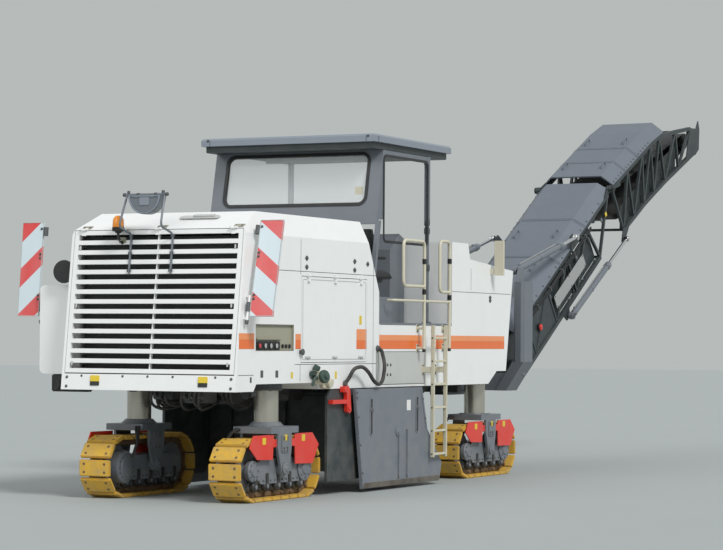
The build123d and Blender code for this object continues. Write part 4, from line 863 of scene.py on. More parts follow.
# A thin flat piece on the right side; mirrored to the left where asked
def addSidePatch(bm, x0, x1, z0, z1, thickness=1.2, y=-bodyHalf, both=False, radius=0):
    halfX, halfZ = (x1 - x0) / 2, (z1 - z0) / 2
    outline = [(-halfX, -halfZ), (halfX, -halfZ), (halfX, halfZ), (-halfX, halfZ)]
    if radius:
        outline = roundedRectangle(x1 - x0, z1 - z0, radius)
    for sideY in ((y, -y) if both else (y,)):
        seat = seatAt(spot((x0 + x1) / 2, sideY, (z0 + z1) / 2), (1 if sideY < 0 else -1, 0, 0), axisZ)
        addSheet(bm, outline, seat, thickness)


def buildSideDressing():
    stripe, pale, seams, latch, yellow, grey = newMeshes(6)
    low, split, high = sideFace["stripeLow"], sideFace["stripeSplit"], sideFace["stripeHigh"]
    for x0, x1 in sideFace["stripes"]:
        addSidePatch(stripe, x0, x1, low, split, both=x0 > 200)
        addSidePatch(pale, x0, x1, split, high, both=x0 > 200)
    addSidePatch(stripe, *sideFace["leftStripe"], low, split, y=bodyHalf)
    addSidePatch(pale, *sideFace["leftStripe"], split, high, y=bodyHalf)
    # Sheet joints: shallow dark lines
    for x, z0, z1 in sideFace["uprightSeams"]:
        addSidePatch(seams, x - 3, x + 3, z0, z1, 0.8, both=True)
    for x0, x1, z in sideFace["levelSeams"]:
        addSidePatch(seams, x0, x1, z - 3, z + 3, 0.8, both=True)
    # Paired latches
    for x, z in sideFace["latches"]:
        for y, facing in ((-bodyHalf, -1), (bodyHalf, 1)):
            addTurned(latch, spot(x, y, z), (0, facing, 0),
                      [(-0.002, 0.027), (0.006, 0.027), (0.009, 0.021), (0.011, 0.012)], 20)
            addBox(latch, (x - 36, x + 36), (y, y + facing * 7), (z - 9, z + 9), 3)
    addTurned(latch, spot(247, -bodyHalf, 1549), (0, -1, 0),
              [(-0.002, 0.022), (0.022, 0.022), (0.026, 0.034), (0.040, 0.034), (0.046, 0.026)], 20)
    # Small blank marks and pads along the lower edge
    for bm, table in ((grey, sideFace["pads"]), (yellow, sideFace["yellowMarks"])):
        for x, z, width, height in table:
            addSidePatch(bm, x - width / 2, x + width / 2, z - height / 2, z + height / 2, radius=6)
    addSidePatch(seams, -835, -799, 1235, 1295, 1.0, radius=12)
    placeAll("chassis", (stripe, "sideStripeLow", "orange"), (pale, "sideStripeHigh", "orangePale"),
             (seams, "housingSeams", "frame"), (latch, "housingLatches", "castGrey"),
             (yellow, "smallYellowMarks", "markYellow"), (grey, "smallGreyPads", "castGrey"))
    # The service door carries its own part of the stripe and its own fittings
    doorStripe, doorPale, doorFittings, doorMarks = newMeshes(4)
    addSidePatch(doorStripe, *sideFace["doorStripe"], low, split)
    addSidePatch(doorPale, *sideFace["doorStripe"], split, high + 60)
    addSidePatch(doorMarks, 1640, 1700, 1850, 1950, radius=8)
    for x in (420, 1050, 1680):
        addBox(doorFittings, (x - 60, x + 60), (-1052, -bodyHalf), (1478, 1502), 4)
        addTurned(doorFittings, spot(x, -1052, 1490), (0, -1, 0),
                  [(-0.001, 0.014), (0.010, 0.014), (0.013, 0.009)], 16)
    outer = roundedRectangle(1500, 860, 26)
    inner = roundedRectangle(1480, 840, 18)
    addFrame(doorFittings, outer, inner, seatAt(spot(1050, -bodyHalf, 1894.5), axisX, axisZ), -1.5)
    placeAll("service_door", (doorStripe, "doorStripeLow", "orange"), (doorPale, "doorStripeHigh", "orangePale"),
             (doorFittings, "doorFittings", "panelGrey"), (doorMarks, "doorMarks", "markYellow"))


buildSideDressing()
print("housings dressed")

# Recess with working lamps at the hood's rear corner
recess = {"x0": -716, "x1": 106, "z0": 1564, "z1": 1831, "back": -1016, "mouth": -1044}


def buildRecess():
    lining, lamps, lens, red = newMeshes(4)
    x0, x1, z0, z1, back = recess["x0"], recess["x1"], recess["z0"], recess["z1"], recess["back"]
    addBox(lining, (x0, x1), (back, back - 3), (z0, z1), 0)
    for xs, zs in (((x0, x0 + 4), (z0, z1)), ((x1 - 4, x1), (z0, z1)), ((x0, x1), (z0, z0 + 4)),
                   ((x0, x1), (z1 - 4, z1))):
        addBox(lining, xs, (back, recess["mouth"]), zs, 0)
    addBox(lining, (x0 + 40, x1 - 260), (-1022, -1042), (z0 + 110, z0 + 128), 4)
    # A lamp and switch block across the lower half, with a bezel
    addBox(lamps, (x0 + 10, x0 + 520), (-1020, -1049), (z0 + 4, z0 + 96), 8)
    for i in range(4):
        centre = spot(x0 + 75 + i * 120, -1049, z0 + 50)
        addTurned(lamps, centre, (0, -1, 0), [(-0.004, 0.038), (0.008, 0.038), (0.010, 0.031), (0.004, 0.029)], 20)
        addTurned(red if i == 0 else lens, centre, (0, -1, 0), [(0.0, 0.028), (0.007, 0.025), (0.010, 0.014)], 20)
    for i in range(3):
        addBox(lamps, (x1 - 230 + i * 75, x1 - 190 + i * 75), (-1022, -1036), (z0 + 26, z0 + 66), 5)
    placeAll("chassis", (lining, "lampRecessLining", "khaki"), (lamps, "lampRecessBlock", "black"),
             (lens, "lampRecessLenses", "lensClear"), (red, "lampRecessRed", "redLens"))


# Fillers, couplings and a bent hose low on the right side
couplings = {
    "wallY": -1046, "neck": (610, -bodyHalf, 1270), "neckAxis": (-0.25, -1, 0.15), "drain": (770, 1232),
    "lever": ((500, -1090, 1270), (455, -1130, 1285), (400, -1140, 1255), (385, -1120, 1190)),
    "grip": ((690, -1075, 1180), (800, -1095, 1165), (905, -1082, 1192)), "hoseRadius": 0.021, "hoseBend": 0.14,
    "hose": ((2095, -1046, 1586), (2095, -1100, 1570), (2070, -1160, 1400), (1990, -1168, 1225),
             (1900, -1168, 1182), (1780, -1168, 1215), (1650, -1160, 1330), (1520, -1150, 1392),
             (1350, -1130, 1370), (1290, -1100, 1260), (1280, -1050, 1200)),
    "clamps": ((2095, 1586), (1280, 1200)),
}


def buildCouplings():
    wallY, axis = couplings["wallY"], couplings["neckAxis"]
    body, dark, hose, caps = newMeshes(4)
    # Water filler under the service door: a pale neck, a dark green cap and its lever
    neck = spot(*couplings["neck"])
    addTurned(body, neck, axis, [(-0.01, 0.078), (0.030, 0.078), (0.036, 0.062), (0.085, 0.058), (0.090, 0.066),
                                 (0.108, 0.066)], 28)
    addTurned(dark, neck + Vector(axis).normalized() * 0.106, axis,
              [(0.0, 0.070), (0.022, 0.074), (0.040, 0.066), (0.044, 0.030), (0.064, 0.026), (0.068, 0.014)], 28)
    addBox(dark, (505, 700), (wallY, -1112), (1250, 1292), 10)
    addPipe(dark, spotRow(*couplings["lever"]), 0.015, 0.03)
    addTurned(body, spot(couplings["drain"][0], wallY, couplings["drain"][1]), (0, -1, -0.2),
              [(-0.01, 0.060), (0.040, 0.060), (0.048, 0.046), (0.085, 0.046), (0.09, 0.052), (0.11, 0.050),
               (0.112, 0.030)], 24)
    addBox(body, (700, 840), (wallY, -1064), (1160, 1300), 8)
    addBox(dark, (450, 560), (wallY, -1090), (1290, 1350), 12)
    addTurned(dark, spot(545, -1078, 1356), (0.3, -0.4, 1),
              [(0.0, 0.036), (0.02, 0.040), (0.05, 0.036), (0.056, 0.018)], 20)
    addPipe(body, spotRow(*couplings["grip"]), 0.019, 0.05)
    # A bent hose to the drum box, with a clamp at each end
    addPipe(hose, spotRow(*couplings["hose"]), couplings["hoseRadius"], couplings["hoseBend"], 14)
    for x, z in couplings["clamps"]:
        addTurned(caps, spot(x, -1044, z), (0, -1, 0),
                  [(0.0, 0.036), (0.012, 0.036), (0.016, 0.028), (0.034, 0.027)], 18)
    placeAll("chassis", (body, "fillerNecks", "cream"), (dark, "fillerCaps", "greenDark"),
             (hose, "sideHose", "rubber"), (caps, "hoseClamps", "castGrey"))


# Grey service panel above the side plate, with two pairs of screws
servicePanel = {"x": 2720, "z": 1365, "width": 1290, "height": 366, "corner": 18}


def buildServicePanel():
    panel, screws, frameLine = newMeshes(3)
    width, height, corner = (servicePanel[key] for key in ("width", "height", "corner"))
    seat = seatAt(spot(servicePanel["x"], -bodyHalf, servicePanel["z"]), axisX, axisZ)
    outline = roundedRectangle(width, height, corner)
    addSheet(panel, outline, seat, 2.0, 1.0)
    for x in (2360, 2440):
        for z in (1290, 1400):
            addBolt(screws, spot(x, -1047, z), (0, -1, 0), 0.012, 0.008)
    addFrame(frameLine, roundedRectangle(width + 10, height + 10, corner + 2), outline, seat, -2.4)
    placeAll("chassis", (panel, "servicePanel", "panelGrey"), (screws, "servicePanelScrews", "castGrey"),
             (frameLine, "servicePanelJoint", "frame"))


buildRecess()
buildCouplings()
buildServicePanel()
print("recess, couplings and service panel built")

# Rear face: hinge plates, grip, beacon, blocks on the beam
rearFace = {
    "lowX": -1130, "lowZ": 1145, "lean": 6.85, "doorTop": 2810, "beaconY": 420, "beaconZ": 2770,
    "hingeYs": (893, -23, -934), "reflectorYs": (633, -658), "reflectorZ": 1262, "footZ": 1212,
    "beamBoltYs": (300, 0, -300, -800, 800), "beamBoltZ": 1290,
}


def rearX(z):
    return rearFace["lowX"] + (z - rearFace["lowZ"]) * math.tan(math.radians(rearFace["lean"]))


def rearSeat(y, z, lift=0.0):
    lean = math.radians(rearFace["lean"])
    origin = spot(rearX(z), y, z) + Vector((-math.cos(lean), 0, math.sin(lean))) * lift / 1000
    return seatAt(origin, (0, -1, 0), (math.sin(lean), 0, math.cos(lean)))


def buildRearDressing():
    plates, grip, blocks, blockFeet, dark, amber, bracket = newMeshes(7)
    slope = Vector((-550 - rearX(rearFace["doorTop"]), 0, 3000 - rearFace["doorTop"])).normalized()
    outward = Vector((-slope.z, 0, slope.x))
    for y in rearFace["hingeYs"]:
        origin = spot(rearX(rearFace["doorTop"]), y, rearFace["doorTop"]) + slope * 0.055 + outward * 0.001
        seat = seatAt(origin, (0, -1, 0), slope)
        addSheet(plates, roundedRectangle(118, 74, 10), seat, 5, 2)
        for boltX in (-36, 36):
            addBolt(blocks, seat @ Vector((boltX / 1000, -0.005, 0.0)), outward, 0.009, 0.006)
    # Grip let into the sloping panel
    seat = seatAt(spot(-700, -365, 2936) + outward * 0.004, (0, -1, 0), slope)
    addSheet(grip, roundedRectangle(470, 74, 34, 6), seat, 4, 2)
    addSheet(grip, shiftOutline(roundedRectangle(270, 40, 19, 6), 60, 6), seat, 22, 7)
    placeAll("chassis", (plates, "rearHingePlates", "khaki"), (grip, "rearPanelGrip", "panelGrey"))
    # Yellow reflector blocks on the rear beam with a dark foot each
    for y in rearFace["reflectorYs"]:
        addSheet(amber, roundedRectangle(108, 66, 8), rearSeat(y, rearFace["reflectorZ"]), 12, 3)
        addSheet(dark, roundedRectangle(108, 44, 6), rearSeat(y, rearFace["footZ"]), 9, 2)
    for y in (980, -985):
        for z in (1180, 1275):
            seat = rearSeat(y, z)
            addBolt(blockFeet, seat.translation, seatWay(seat, 0, -1, 0), 0.011, 0.008)
    for y in rearFace["beamBoltYs"]:
        seat = rearSeat(y, rearFace["beamBoltZ"])
        addBolt(blockFeet, seat.translation, seatWay(seat, 0, -1, 0), 0.009, 0.006)
    placeAll("chassis", (amber, "rearReflectors", "markYellow"), (blockFeet, "rearBeamBolts", "castGrey"),
             (blocks, "hingePlateBolts", "castGrey"))
    # Work lamp below the beam and the box under the left tank
    addBox(dark, (-700, -590), (-985, -860), (1085, 1140), 10)
    addTurned(dark, spot(-700, -922, 1110), (-1, 0, 0), [(-0.01, 0.045), (0.012, 0.045), (0.016, 0.038)], 20)
    addBox(dark, (-790, -640), (960, 1390), (1112, 1296), 12)
    addBox(dark, (-806, -788), (1000, 1130), (1130, 1235), 8)
    for y in (1210, 1320):
        addTurned(dark, spot(-790, y, 1180), (-1, 0, 0),
                  [(0.0, 0.050), (0.016, 0.050), (0.020, 0.040), (0.014, 0.036)], 24)
    addTurned(dark, spot(-900, 1180, 2380), (1, 0.1, 0),
              [(0.0, 0.118), (0.018, 0.124), (0.050, 0.118), (0.085, 0.07), (0.09, 0.03)], 32)
    addPipe(dark, spotRow((-830, 1190, 2380), (-800, 1120, 2380), (-795, 1046, 2380)), 0.018, 0.03)
    place(dark, "rearLampHousings", "black", "chassis")
    # Warning beacon on its own bracket on the grille door
    base = spot(rearX(2760) - 95, rearFace["beaconY"], rearFace["beaconZ"])
    dome, stand = newMeshes(2)
    addTurned(dome, base + Vector((0, 0, 0.062)), axisZ,
              [(0.0, 0.060), (0.010, 0.062), (0.070, 0.058), (0.098, 0.048), (0.115, 0.030), (0.121, 0.010)], 28)
    addTurned(stand, base, axisZ, [(0.0, 0.030), (0.016, 0.036), (0.020, 0.062), (0.056, 0.066), (0.062, 0.060)], 28)
    addPipe(stand, [base + Vector((0, 0, 0.004)), base + Vector((0, 0, -0.05)), base + Vector((0.085, 0, -0.10))],
            0.015, 0.03)
    addSheet(bracket, roundedRectangle(84, 60, 8), rearSeat(rearFace["beaconY"], 2700, 2), 6, 2)
    addBox(bracket, (rearX(2700) - 70, rearX(2700)), (rearFace["beaconY"] - 24, rearFace["beaconY"] + 24),
           (2692, 2704), 3)
    place(dome, "beaconDome", "amber", "grille_door", 50)
    placeAll("grille_door", (stand, "beaconStand", "black"), (bracket, "beaconBracket", "khaki"))


# Clips, latches and the lamp frame's face on the grille door
def buildGrilleFittings():
    clips, emboss, latches = newMeshes(3)
    for y in (310, -190):
        for z in (2380, 2560, 2740):
            seat = rearSeat(y, z, 12)
            addSheet(clips, roundedRectangle(44, 30, 6), seat, 10, 3)
    barX = rearX(2760) - 150
    for y in (310, 145, -65, -195):
        addTurned(clips, spot(barX, y - 14, 3160), axisY, [(0.0, 0.019), (0.028, 0.019)], 16)
    for y in (262, -152):
        addTurned(clips, spot(barX, y, 3172), axisZ, [(0.0, 0.016), (0.026, 0.016), (0.030, 0.010)], 12)
    disc = seatAt(spot(barX - 55, 40, 3150), (0, -1, 0), axisZ)
    outer = [(190 * math.cos(math.radians(a)), 190 * math.sin(math.radians(a))) for a in range(-180, 1, 12)]
    inner = [(168 * math.cos(math.radians(a)), 168 * math.sin(math.radians(a)) - 12) for a in range(-180, 1, 12)]
    addFrame(emboss, outer, inner, disc, -9)
    addSheet(emboss, shiftOutline(roundedRectangle(120, 84, 14), 0, -62), disc, 7, 2)
    addSheet(emboss, shiftOutline(roundedRectangle(250, 16, 6), 0, -14), disc, 7, 2)
    for y in (-930, 930):
        for z in (1420, 2020, 2620):
            seat = rearSeat(y, z)
            addSheet(latches, roundedRectangle(20, 46, 6), seat, 5, 2)
    placeAll("grille_door", (clips, "lampFrameClips", "castGrey"), (emboss, "rearLampFace", "slateLight"),
             (latches, "grilleLatches", "panelGrey"))


buildRearDressing()
buildGrilleFittings()
print("rear face dressed")

# Hazard boards: rims, clamps and feet
boards = {
    "height": 1010, "width": 270, "reach": 26, "footZ": 1910, "clampShares": (0.18, 0.22, 0.62, 0.66, 0.93),
    "sides": (("right", -970, -1085, 13, -1), ("left", -750, 1555, 5, 1)),
}


def buildBoardFittings():
    for name, x, y, lean, sideways in boards["sides"]:
        rim, clamps = newMeshes(2)
        tilt = math.radians(lean)
        up = Vector((math.sin(tilt), 0, math.cos(tilt)))
        foot = spot(x, y, boards["footZ"])
        halfReach = sideways * (boards["reach"] + boards["width"] / 2) / 1000
        middle = foot + up * boards["height"] / 2000 + Vector((0, halfReach, 0))
        rear = Vector((-math.cos(tilt), 0, math.sin(tilt)))
        seat = seatAt(middle + rear * 0.0085, (0, -1, 0), up)
        outer = roundedRectangle(boards["width"], boards["height"], 4)
        inner = roundedRectangle(boards["width"] - 12, boards["height"] - 12, 3)
        addFrame(rim, outer, inner, seat, -2.5)
        for along in boards["clampShares"]:
            clampSpot = foot + up * along * boards["height"] / 1000 + Vector((0, sideways * 0.05, 0)) + rear * 0.009
            addBolt(clamps, clampSpot, rear, 0.010, 0.010)
        for z in (60, boards["height"] - 140):
            base = foot + up * z / 1000
            addTurned(clamps, base, up, [(-0.006, 0.026), (0.086, 0.026)], 20)
        addTurned(clamps, foot - up * 0.06, up, [(-0.02, 0.016), (0.0, 0.020), (0.02, 0.020)], 16)
        placeAll("hazard_board_" + name, (rim, "boardRim_" + name, "panelGrey"),
                 (clamps, "boardClamps_" + name, "castGrey"))


buildBoardFittings()
print("hazard boards fitted")

# Canopy: window rubbers and pane, roof seams, painted shade under the roof's overhang, and lamps
canopy = {
    "wallX": 2435, "wallZ": 3430, "lean": 11.5, "windowY": 195, "windowZ": 3525, "windowWidth": 1850,
    "windowHeight": 580, "corner": 90, "sideX": 3127.5, "sideZ": 3300, "sideWidth": 1185, "sideHeight": 980,
    "postX": 3755, "postYs": (-880, 955), "collarZs": (2520, 2960, 3060), "bandZ": (3862, 3929),
    "rimShadeBands": (((2243, 2246), (-905, 1275)), ((4234, 4237), (-905, 1275)), ((2245, 4235), (-907, -904)),
                    ((2245, 4235), (1274, 1277))),
    "seamZ": (3934, 4000), "rearSeams": ((-840, -834), (1200, 1206)), "sideSeamYs": (-951.5, 1321.5),
}


def buildCanopy():
    rubber, pane, seamLines, gutter, under, marks, post = newMeshes(7)
    tilt = math.radians(canopy["lean"])
    wallX = canopy["wallX"] + (canopy["windowZ"] - canopy["wallZ"]) * math.tan(tilt)
    up = Vector((math.sin(tilt), 0, math.cos(tilt)))
    rear = Vector((-math.cos(tilt), 0, math.sin(tilt)))
    height = canopy["windowHeight"] / math.cos(tilt)
    seat = seatAt(spot(wallX, canopy["windowY"], canopy["windowZ"]) + rear * 0.001, (0, -1, 0), up)
    opening = roundedRectangle(canopy["windowWidth"] - 6, height - 6, canopy["corner"] - 3, 8)
    outer = roundedRectangle(canopy["windowWidth"] + 44, height + 44, canopy["corner"] + 22, 8)
    inner = roundedRectangle(canopy["windowWidth"] - 30, height - 30, canopy["corner"] - 12, 8)
    addFrame(rubber, outer, inner, seat, -8)
    deep = seatAt(seat.translation - rear * 0.028, (0, -1, 0), up)
    addSheet(pane, opening, deep, 5)
    addFrame(rubber, opening, inner, seat, 30)
    # Rubber round the side opening
    sideSeat = seatAt(spot(canopy["sideX"], -901, canopy["sideZ"]), axisX, axisZ)
    outer = roundedRectangle(canopy["sideWidth"] + 36, canopy["sideHeight"] + 36, 76, 8)
    inner = roundedRectangle(canopy["sideWidth"] - 26, canopy["sideHeight"] - 26, 48, 8)
    addFrame(rubber, outer, inner, sideSeat, -7)
    # Roof: a seam in each long face, and dark painted shade on the inset lower rim and the underside of the roof
    for y in canopy["sideSeamYs"]:
        addBox(seamLines, (2290, 2297), (y - 1.5, y + 1.5), canopy["seamZ"], 0)
    for ys in canopy["rearSeams"]:
        addBox(seamLines, (2198.5, 2200), ys, canopy["seamZ"], 0)
    # Painted shade: dark bands round the roof's inset lower rim and a dark sheet under the roof, where the overhang
    # shades them
    for xs, ys in canopy["rimShadeBands"]:
        addBox(under, xs, ys, canopy["bandZ"], 0)
    addBox(under, (2250, 4230), (-900, 1270), (3856, 3860), 0)
    for y in (-860, 1230):
        addTurned(seamLines, spot(2230, y, 3990), (-1, 0, 0.1), [(0.0, 0.016), (0.032, 0.016)], 12)
    for y in (-700, 980):
        addBox(gutter, (4236, 4300), (y - 60, y + 60), (3868, 3930), 8)
        addTurned(pane, spot(4299, y, 3899), axisX, [(0.0, 0.026), (0.006, 0.022)], 20)
    placeAll("chassis", (rubber, "windowRubbers", "black"), (pane, "windowPanes", "glass"),
             (seamLines, "roofSeams", "frame"), (under, "roofPaintedShade", "frame"), (gutter, "roofLamps", "black"))
    # Sun strip and a blank yellow mark, both seen through the window
    addBox(post, (2700, 2708), (-470, 730), (3745, 3852), 3)
    addBox(marks, (2520, 2524), (-640, -540), (3350, 3440), 1)
    placeAll("chassis", (post, "sunStrip", "panelGrey"), (marks, "paneMark", "markYellow"))
    # Telescopic posts: collars and clamps
    collars = bmesh.new()
    for y in canopy["postYs"]:
        for z in canopy["collarZs"]:
            addTurned(collars, spot(canopy["postX"], y, z), axisZ,
                      [(-0.02, 0.032), (0.0, 0.036), (0.04, 0.036), (0.06, 0.030)], 20)
        addBoltCircle(collars, spot(canopy["postX"], y, 1892), axisX, axisY, 0.044, 4, axisZ, 0.008, 0.010,
                      math.pi / 4)
    place(collars, "postCollars", "castGrey", "chassis")


buildCanopy()
print("canopy glazed and trimmed")

# Seats
seatSizes = {"x0": 2330, "x1": 2800, "z": 2380, "y": 660, "fill": 0.8, "backX": 2348, "backZ": 2720, "standX": 2520,
             "armOut": 226}


cushion = {
    "rows": 40, "columns": 28, "fullness": 7, "channelDepth": 0.11, "channelWidth": 0.028, "channelPast": 0.2,
    "seamAt": 0.72, "seamDepth": 0.13, "seamWidth": 0.030, "baseShare": 0.485, "baseZ": -0.012,
}


# A cushion on its seat's XY plane, crowned towards +Z, with sewn channels across it
def addCushion(bm, seat, depth, width, thick, channels, crown=0.22):
    rows, columns, seamAt, fullness = (cushion[key] for key in ("rows", "columns", "seamAt", "fullness"))
    top = []
    for i in range(rows + 1):
        u = -1 + 2 * i / rows
        line = []
        for j in range(columns + 1):
            v = -1 + 2 * j / columns
            edge = ((1 - abs(u) ** fullness) * (1 - abs(v) ** fullness)) ** 0.45
            height = thick * (1 - crown + crown * (1 - u * u) * (1 - v * v)) * edge
            reach = 1 if abs(v) < seamAt else cushion["channelPast"]
            for c in channels:
                height -= thick * cushion["channelDepth"] * math.exp(
                    -((u - c) / cushion["channelWidth"]) ** 2) * edge * reach
            for c in (-seamAt, seamAt):
                height -= thick * cushion["seamDepth"] * math.exp(-((v - c) / cushion["seamWidth"]) ** 2) * edge
            line.append(bm.verts.new(seat @ Vector((u * depth / 2, v * width / 2, height))))
        top.append(line)
    bottom = []
    for i in range(rows + 1):
        x = (-1 + 2 * i / rows) * depth * cushion["baseShare"]
        ys = [(-1 + 2 * j / columns) * width * cushion["baseShare"] for j in range(columns + 1)]
        bottom.append([bm.verts.new(seat @ Vector((x, y, cushion["baseZ"]))) for y in ys])
    for grid in (top, bottom):
        for i in range(rows):
            for j in range(columns):
                bm.faces.new((grid[i][j], grid[i + 1][j], grid[i + 1][j + 1], grid[i][j + 1]))
    for i in range(rows):
        for j in (0, columns):
            bm.faces.new((top[i][j], top[i + 1][j], bottom[i + 1][j], bottom[i][j]))
    for j in range(columns):
        for i in (0, rows):
            bm.faces.new((top[i][j], top[i][j + 1], bottom[i][j + 1], bottom[i][j]))


def buildSeats():
    covers, shells, stands = newMeshes(3)
    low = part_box("seats")[0][2] * 1000
    middleX = (seatSizes["x0"] + seatSizes["x1"]) / 2
    standX = seatSizes["standX"]
    for y in (-seatSizes["y"], seatSizes["y"]):
        base = seatAt(spot(middleX + 15, y, seatSizes["z"] + 26), axisX, axisZ)
        addCushion(covers, base, 0.435, 0.460, 0.086, (-0.35, 0.1, 0.55))
        lean = Vector((-0.125, 0, 1)).normalized()
        front = lean.cross(axisY) * -1
        back = seatAt(spot(seatSizes["backX"], y, seatSizes["backZ"]), lean, front)
        addCushion(covers, back, 0.440, 0.420, 0.082, (-0.45, 0.0, 0.45))
        addBox(shells, (seatSizes["x0"] + 6, seatSizes["x1"] - 6), (y - 222, y + 222),
               (seatSizes["z"], seatSizes["z"] + 22), 8)
        shell = seatAt(spot(seatSizes["backX"] - 10, y, seatSizes["backZ"] + 2), lean, front)
        addBox(shells, (-232, 222), (-196, 196), (-14, 6), 10, shell)
        for side in (-1, 1):
            armY = y + side * seatSizes["armOut"]
            addPipe(shells, spotRow((2360, armY, 2480), (2372, armY, 2600), (2600, armY, 2612)), 0.011, 0.04, 10)
            addBox(covers, (2400, 2640), (armY - 14, armY + 14), (2604, 2632), 12)
        for height, half in ((low, 92), (low + 12, 58)):
            addBox(stands, (standX - half, standX + half), (y - half, y + half), (height, height + 14), 5)
        addTurned(stands, spot(standX, y, low + 20), axisZ,
                  [(0.0, 0.052), (0.06, 0.050), (0.064, 0.040), (0.15, 0.040)], 24)
        for i in range(4):
            addBolt(stands, spot(standX + (-70 if i % 2 else 70), y + (-70 if i < 2 else 70), low + 14), axisZ,
                    0.010, 0.009)
        addBox(stands, (2380, 2720), (y - 150, y + 150), (2352, seatSizes["z"]), 6)
        for railY in (y - 110, y + 110):
            addBox(stands, (2370, 2750), (railY - 16, railY + 16), (2338, 2354), 3)
    cover = place(covers, "seatCovers", "seat", "chassis", 80)
    place(shells, "seatShells", "black", "chassis")
    stand = place(stands, "seatStands", "castGrey", "chassis")
    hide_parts("seats")


buildSeats()
print("seats upholstered")

# Handrails and ladder
rails = {"y": -1135, "radius": 0.019, "wallY": -bodyHalf, "clampZ": 1822, "levelZ": 2135,
         "hoops": ((2580, 3145, 2303, 2825, 1550), (3570, 3850, 2250, 2850, 1560))}


def buildRails():
    tubes, sleeves, bolts = newMeshes(3)
    y = rails["y"]
    for x0, x1, z0, z1, postZ in rails["hoops"]:
        addPipe(tubes, spotRow((x1, y, postZ), (x1, y, z1), (x0, y, z1), (x0, y, z0), (x1 - 6, y, z0)),
                rails["radius"], 0.075, 16)
        for z in (z1 - 230, z0 - 60):
            addTurned(sleeves, spot(x1, y, z), axisZ,
                      [(-0.03, 0.0193), (-0.028, 0.025), (0.028, 0.025), (0.03, 0.0193)], 16)
        for z in (postZ + 40, rails["clampZ"]):
            addPipe(tubes, spotRow((x1, y, z), (x1, rails["wallY"], z)), 0.016, 0.0, 12)
            pad = seatAt(spot(x1, rails["wallY"], z), axisX, axisZ)
            addSheet(tubes, roundedRectangle(54, 96, 10), pad, 7, 1.5)
            for dz in (-32, 32):
                addBolt(bolts, spot(x1, rails["wallY"] - 7, z + dz), (0, -1, 0), 0.009, 0.008)
        addTurned(sleeves, spot(x1, y, postZ), axisZ,
                  [(-0.006, 0.012), (-0.004, 0.0205), (0.03, 0.0205), (0.032, 0.0192)], 16)
    levelRail = spotRow(*((x, railY, rails["levelZ"]) for x, railY in ((2350, rails["wallY"]), (2350, y), (3850, y))))
    addPipe(tubes, levelRail, 0.015, 0.05, 12)
    tube = place(tubes, "handrailTubes", "cream", "chassis", 60)
    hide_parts("handrails")
    placeAll("chassis", (sleeves, "handrailSleeves", "black"), (bolts, "handrailBolts", "castGrey"))


ladder = {"outerY": -1159, "treads": 6, "firstZ": 360, "stepZ": 270, "grips": 9}


def buildLadder():
    frameBm, treads, stepBolts = newMeshes(3)
    low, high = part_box("ladder")
    x0, y0, z0 = toDrawing(low)
    x1, z1 = toDrawing(high)[::2]
    y1 = ladder["outerY"]
    for x in (x0, x1 - 30):
        addBox(frameBm, (x, x + 30), (y0, y1), (z0, z1), 5)
        addBox(frameBm, (x + 5, x + 25), (y1 - 4, rails["wallY"]), (1306, 1374), 3)
        addBox(frameBm, (x - 8, x + 38), (rails["wallY"] - 8, rails["wallY"]), (1280, 1400), 2)
        for dz in (-48, 48):
            addBolt(stepBolts, spot(x + 15, rails["wallY"] - 8, 1340 + dz), (0, -1, 0), 0.008, 0.008)
    for i in range(ladder["treads"]):
        z = ladder["firstZ"] + i * ladder["stepZ"]
        addBox(treads, (x0 + 28, x1 - 28), (y0 + 2, y1 - 2), (z - 14, z + 12), 4)
        for k in range(ladder["grips"]):
            gripX = x0 + 55 + k * (x1 - x0 - 110) / (ladder["grips"] - 1)
            addTurned(treads, spot(gripX, (y0 + y1) / 2, z + 11), axisZ,
                      [(0.0, 0.010), (0.003, 0.009), (0.004, 0.006)], 10)
        for x in (x0, x1):
            addBolt(stepBolts, spot(x, (y0 + y1) / 2, z), (1 if x == x1 else -1, 0, 0), 0.007, 0.006)
    sides = place(frameBm, "ladderStiles", "cream", "chassis")
    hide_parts("ladder")
    placeAll("chassis", (treads, "ladderTreads", "cream"), (stepBolts, "ladderBolts", "castGrey"))


buildRails()
buildLadder()
print("handrails and ladder made")

# Milling drum
cutter = {"x": 2600, "z": 620, "core": 370, "rows": 6, "perRow": 9, "step": 103.2, "twist": 13, "half": 975,
          "pickLength": 0.120}


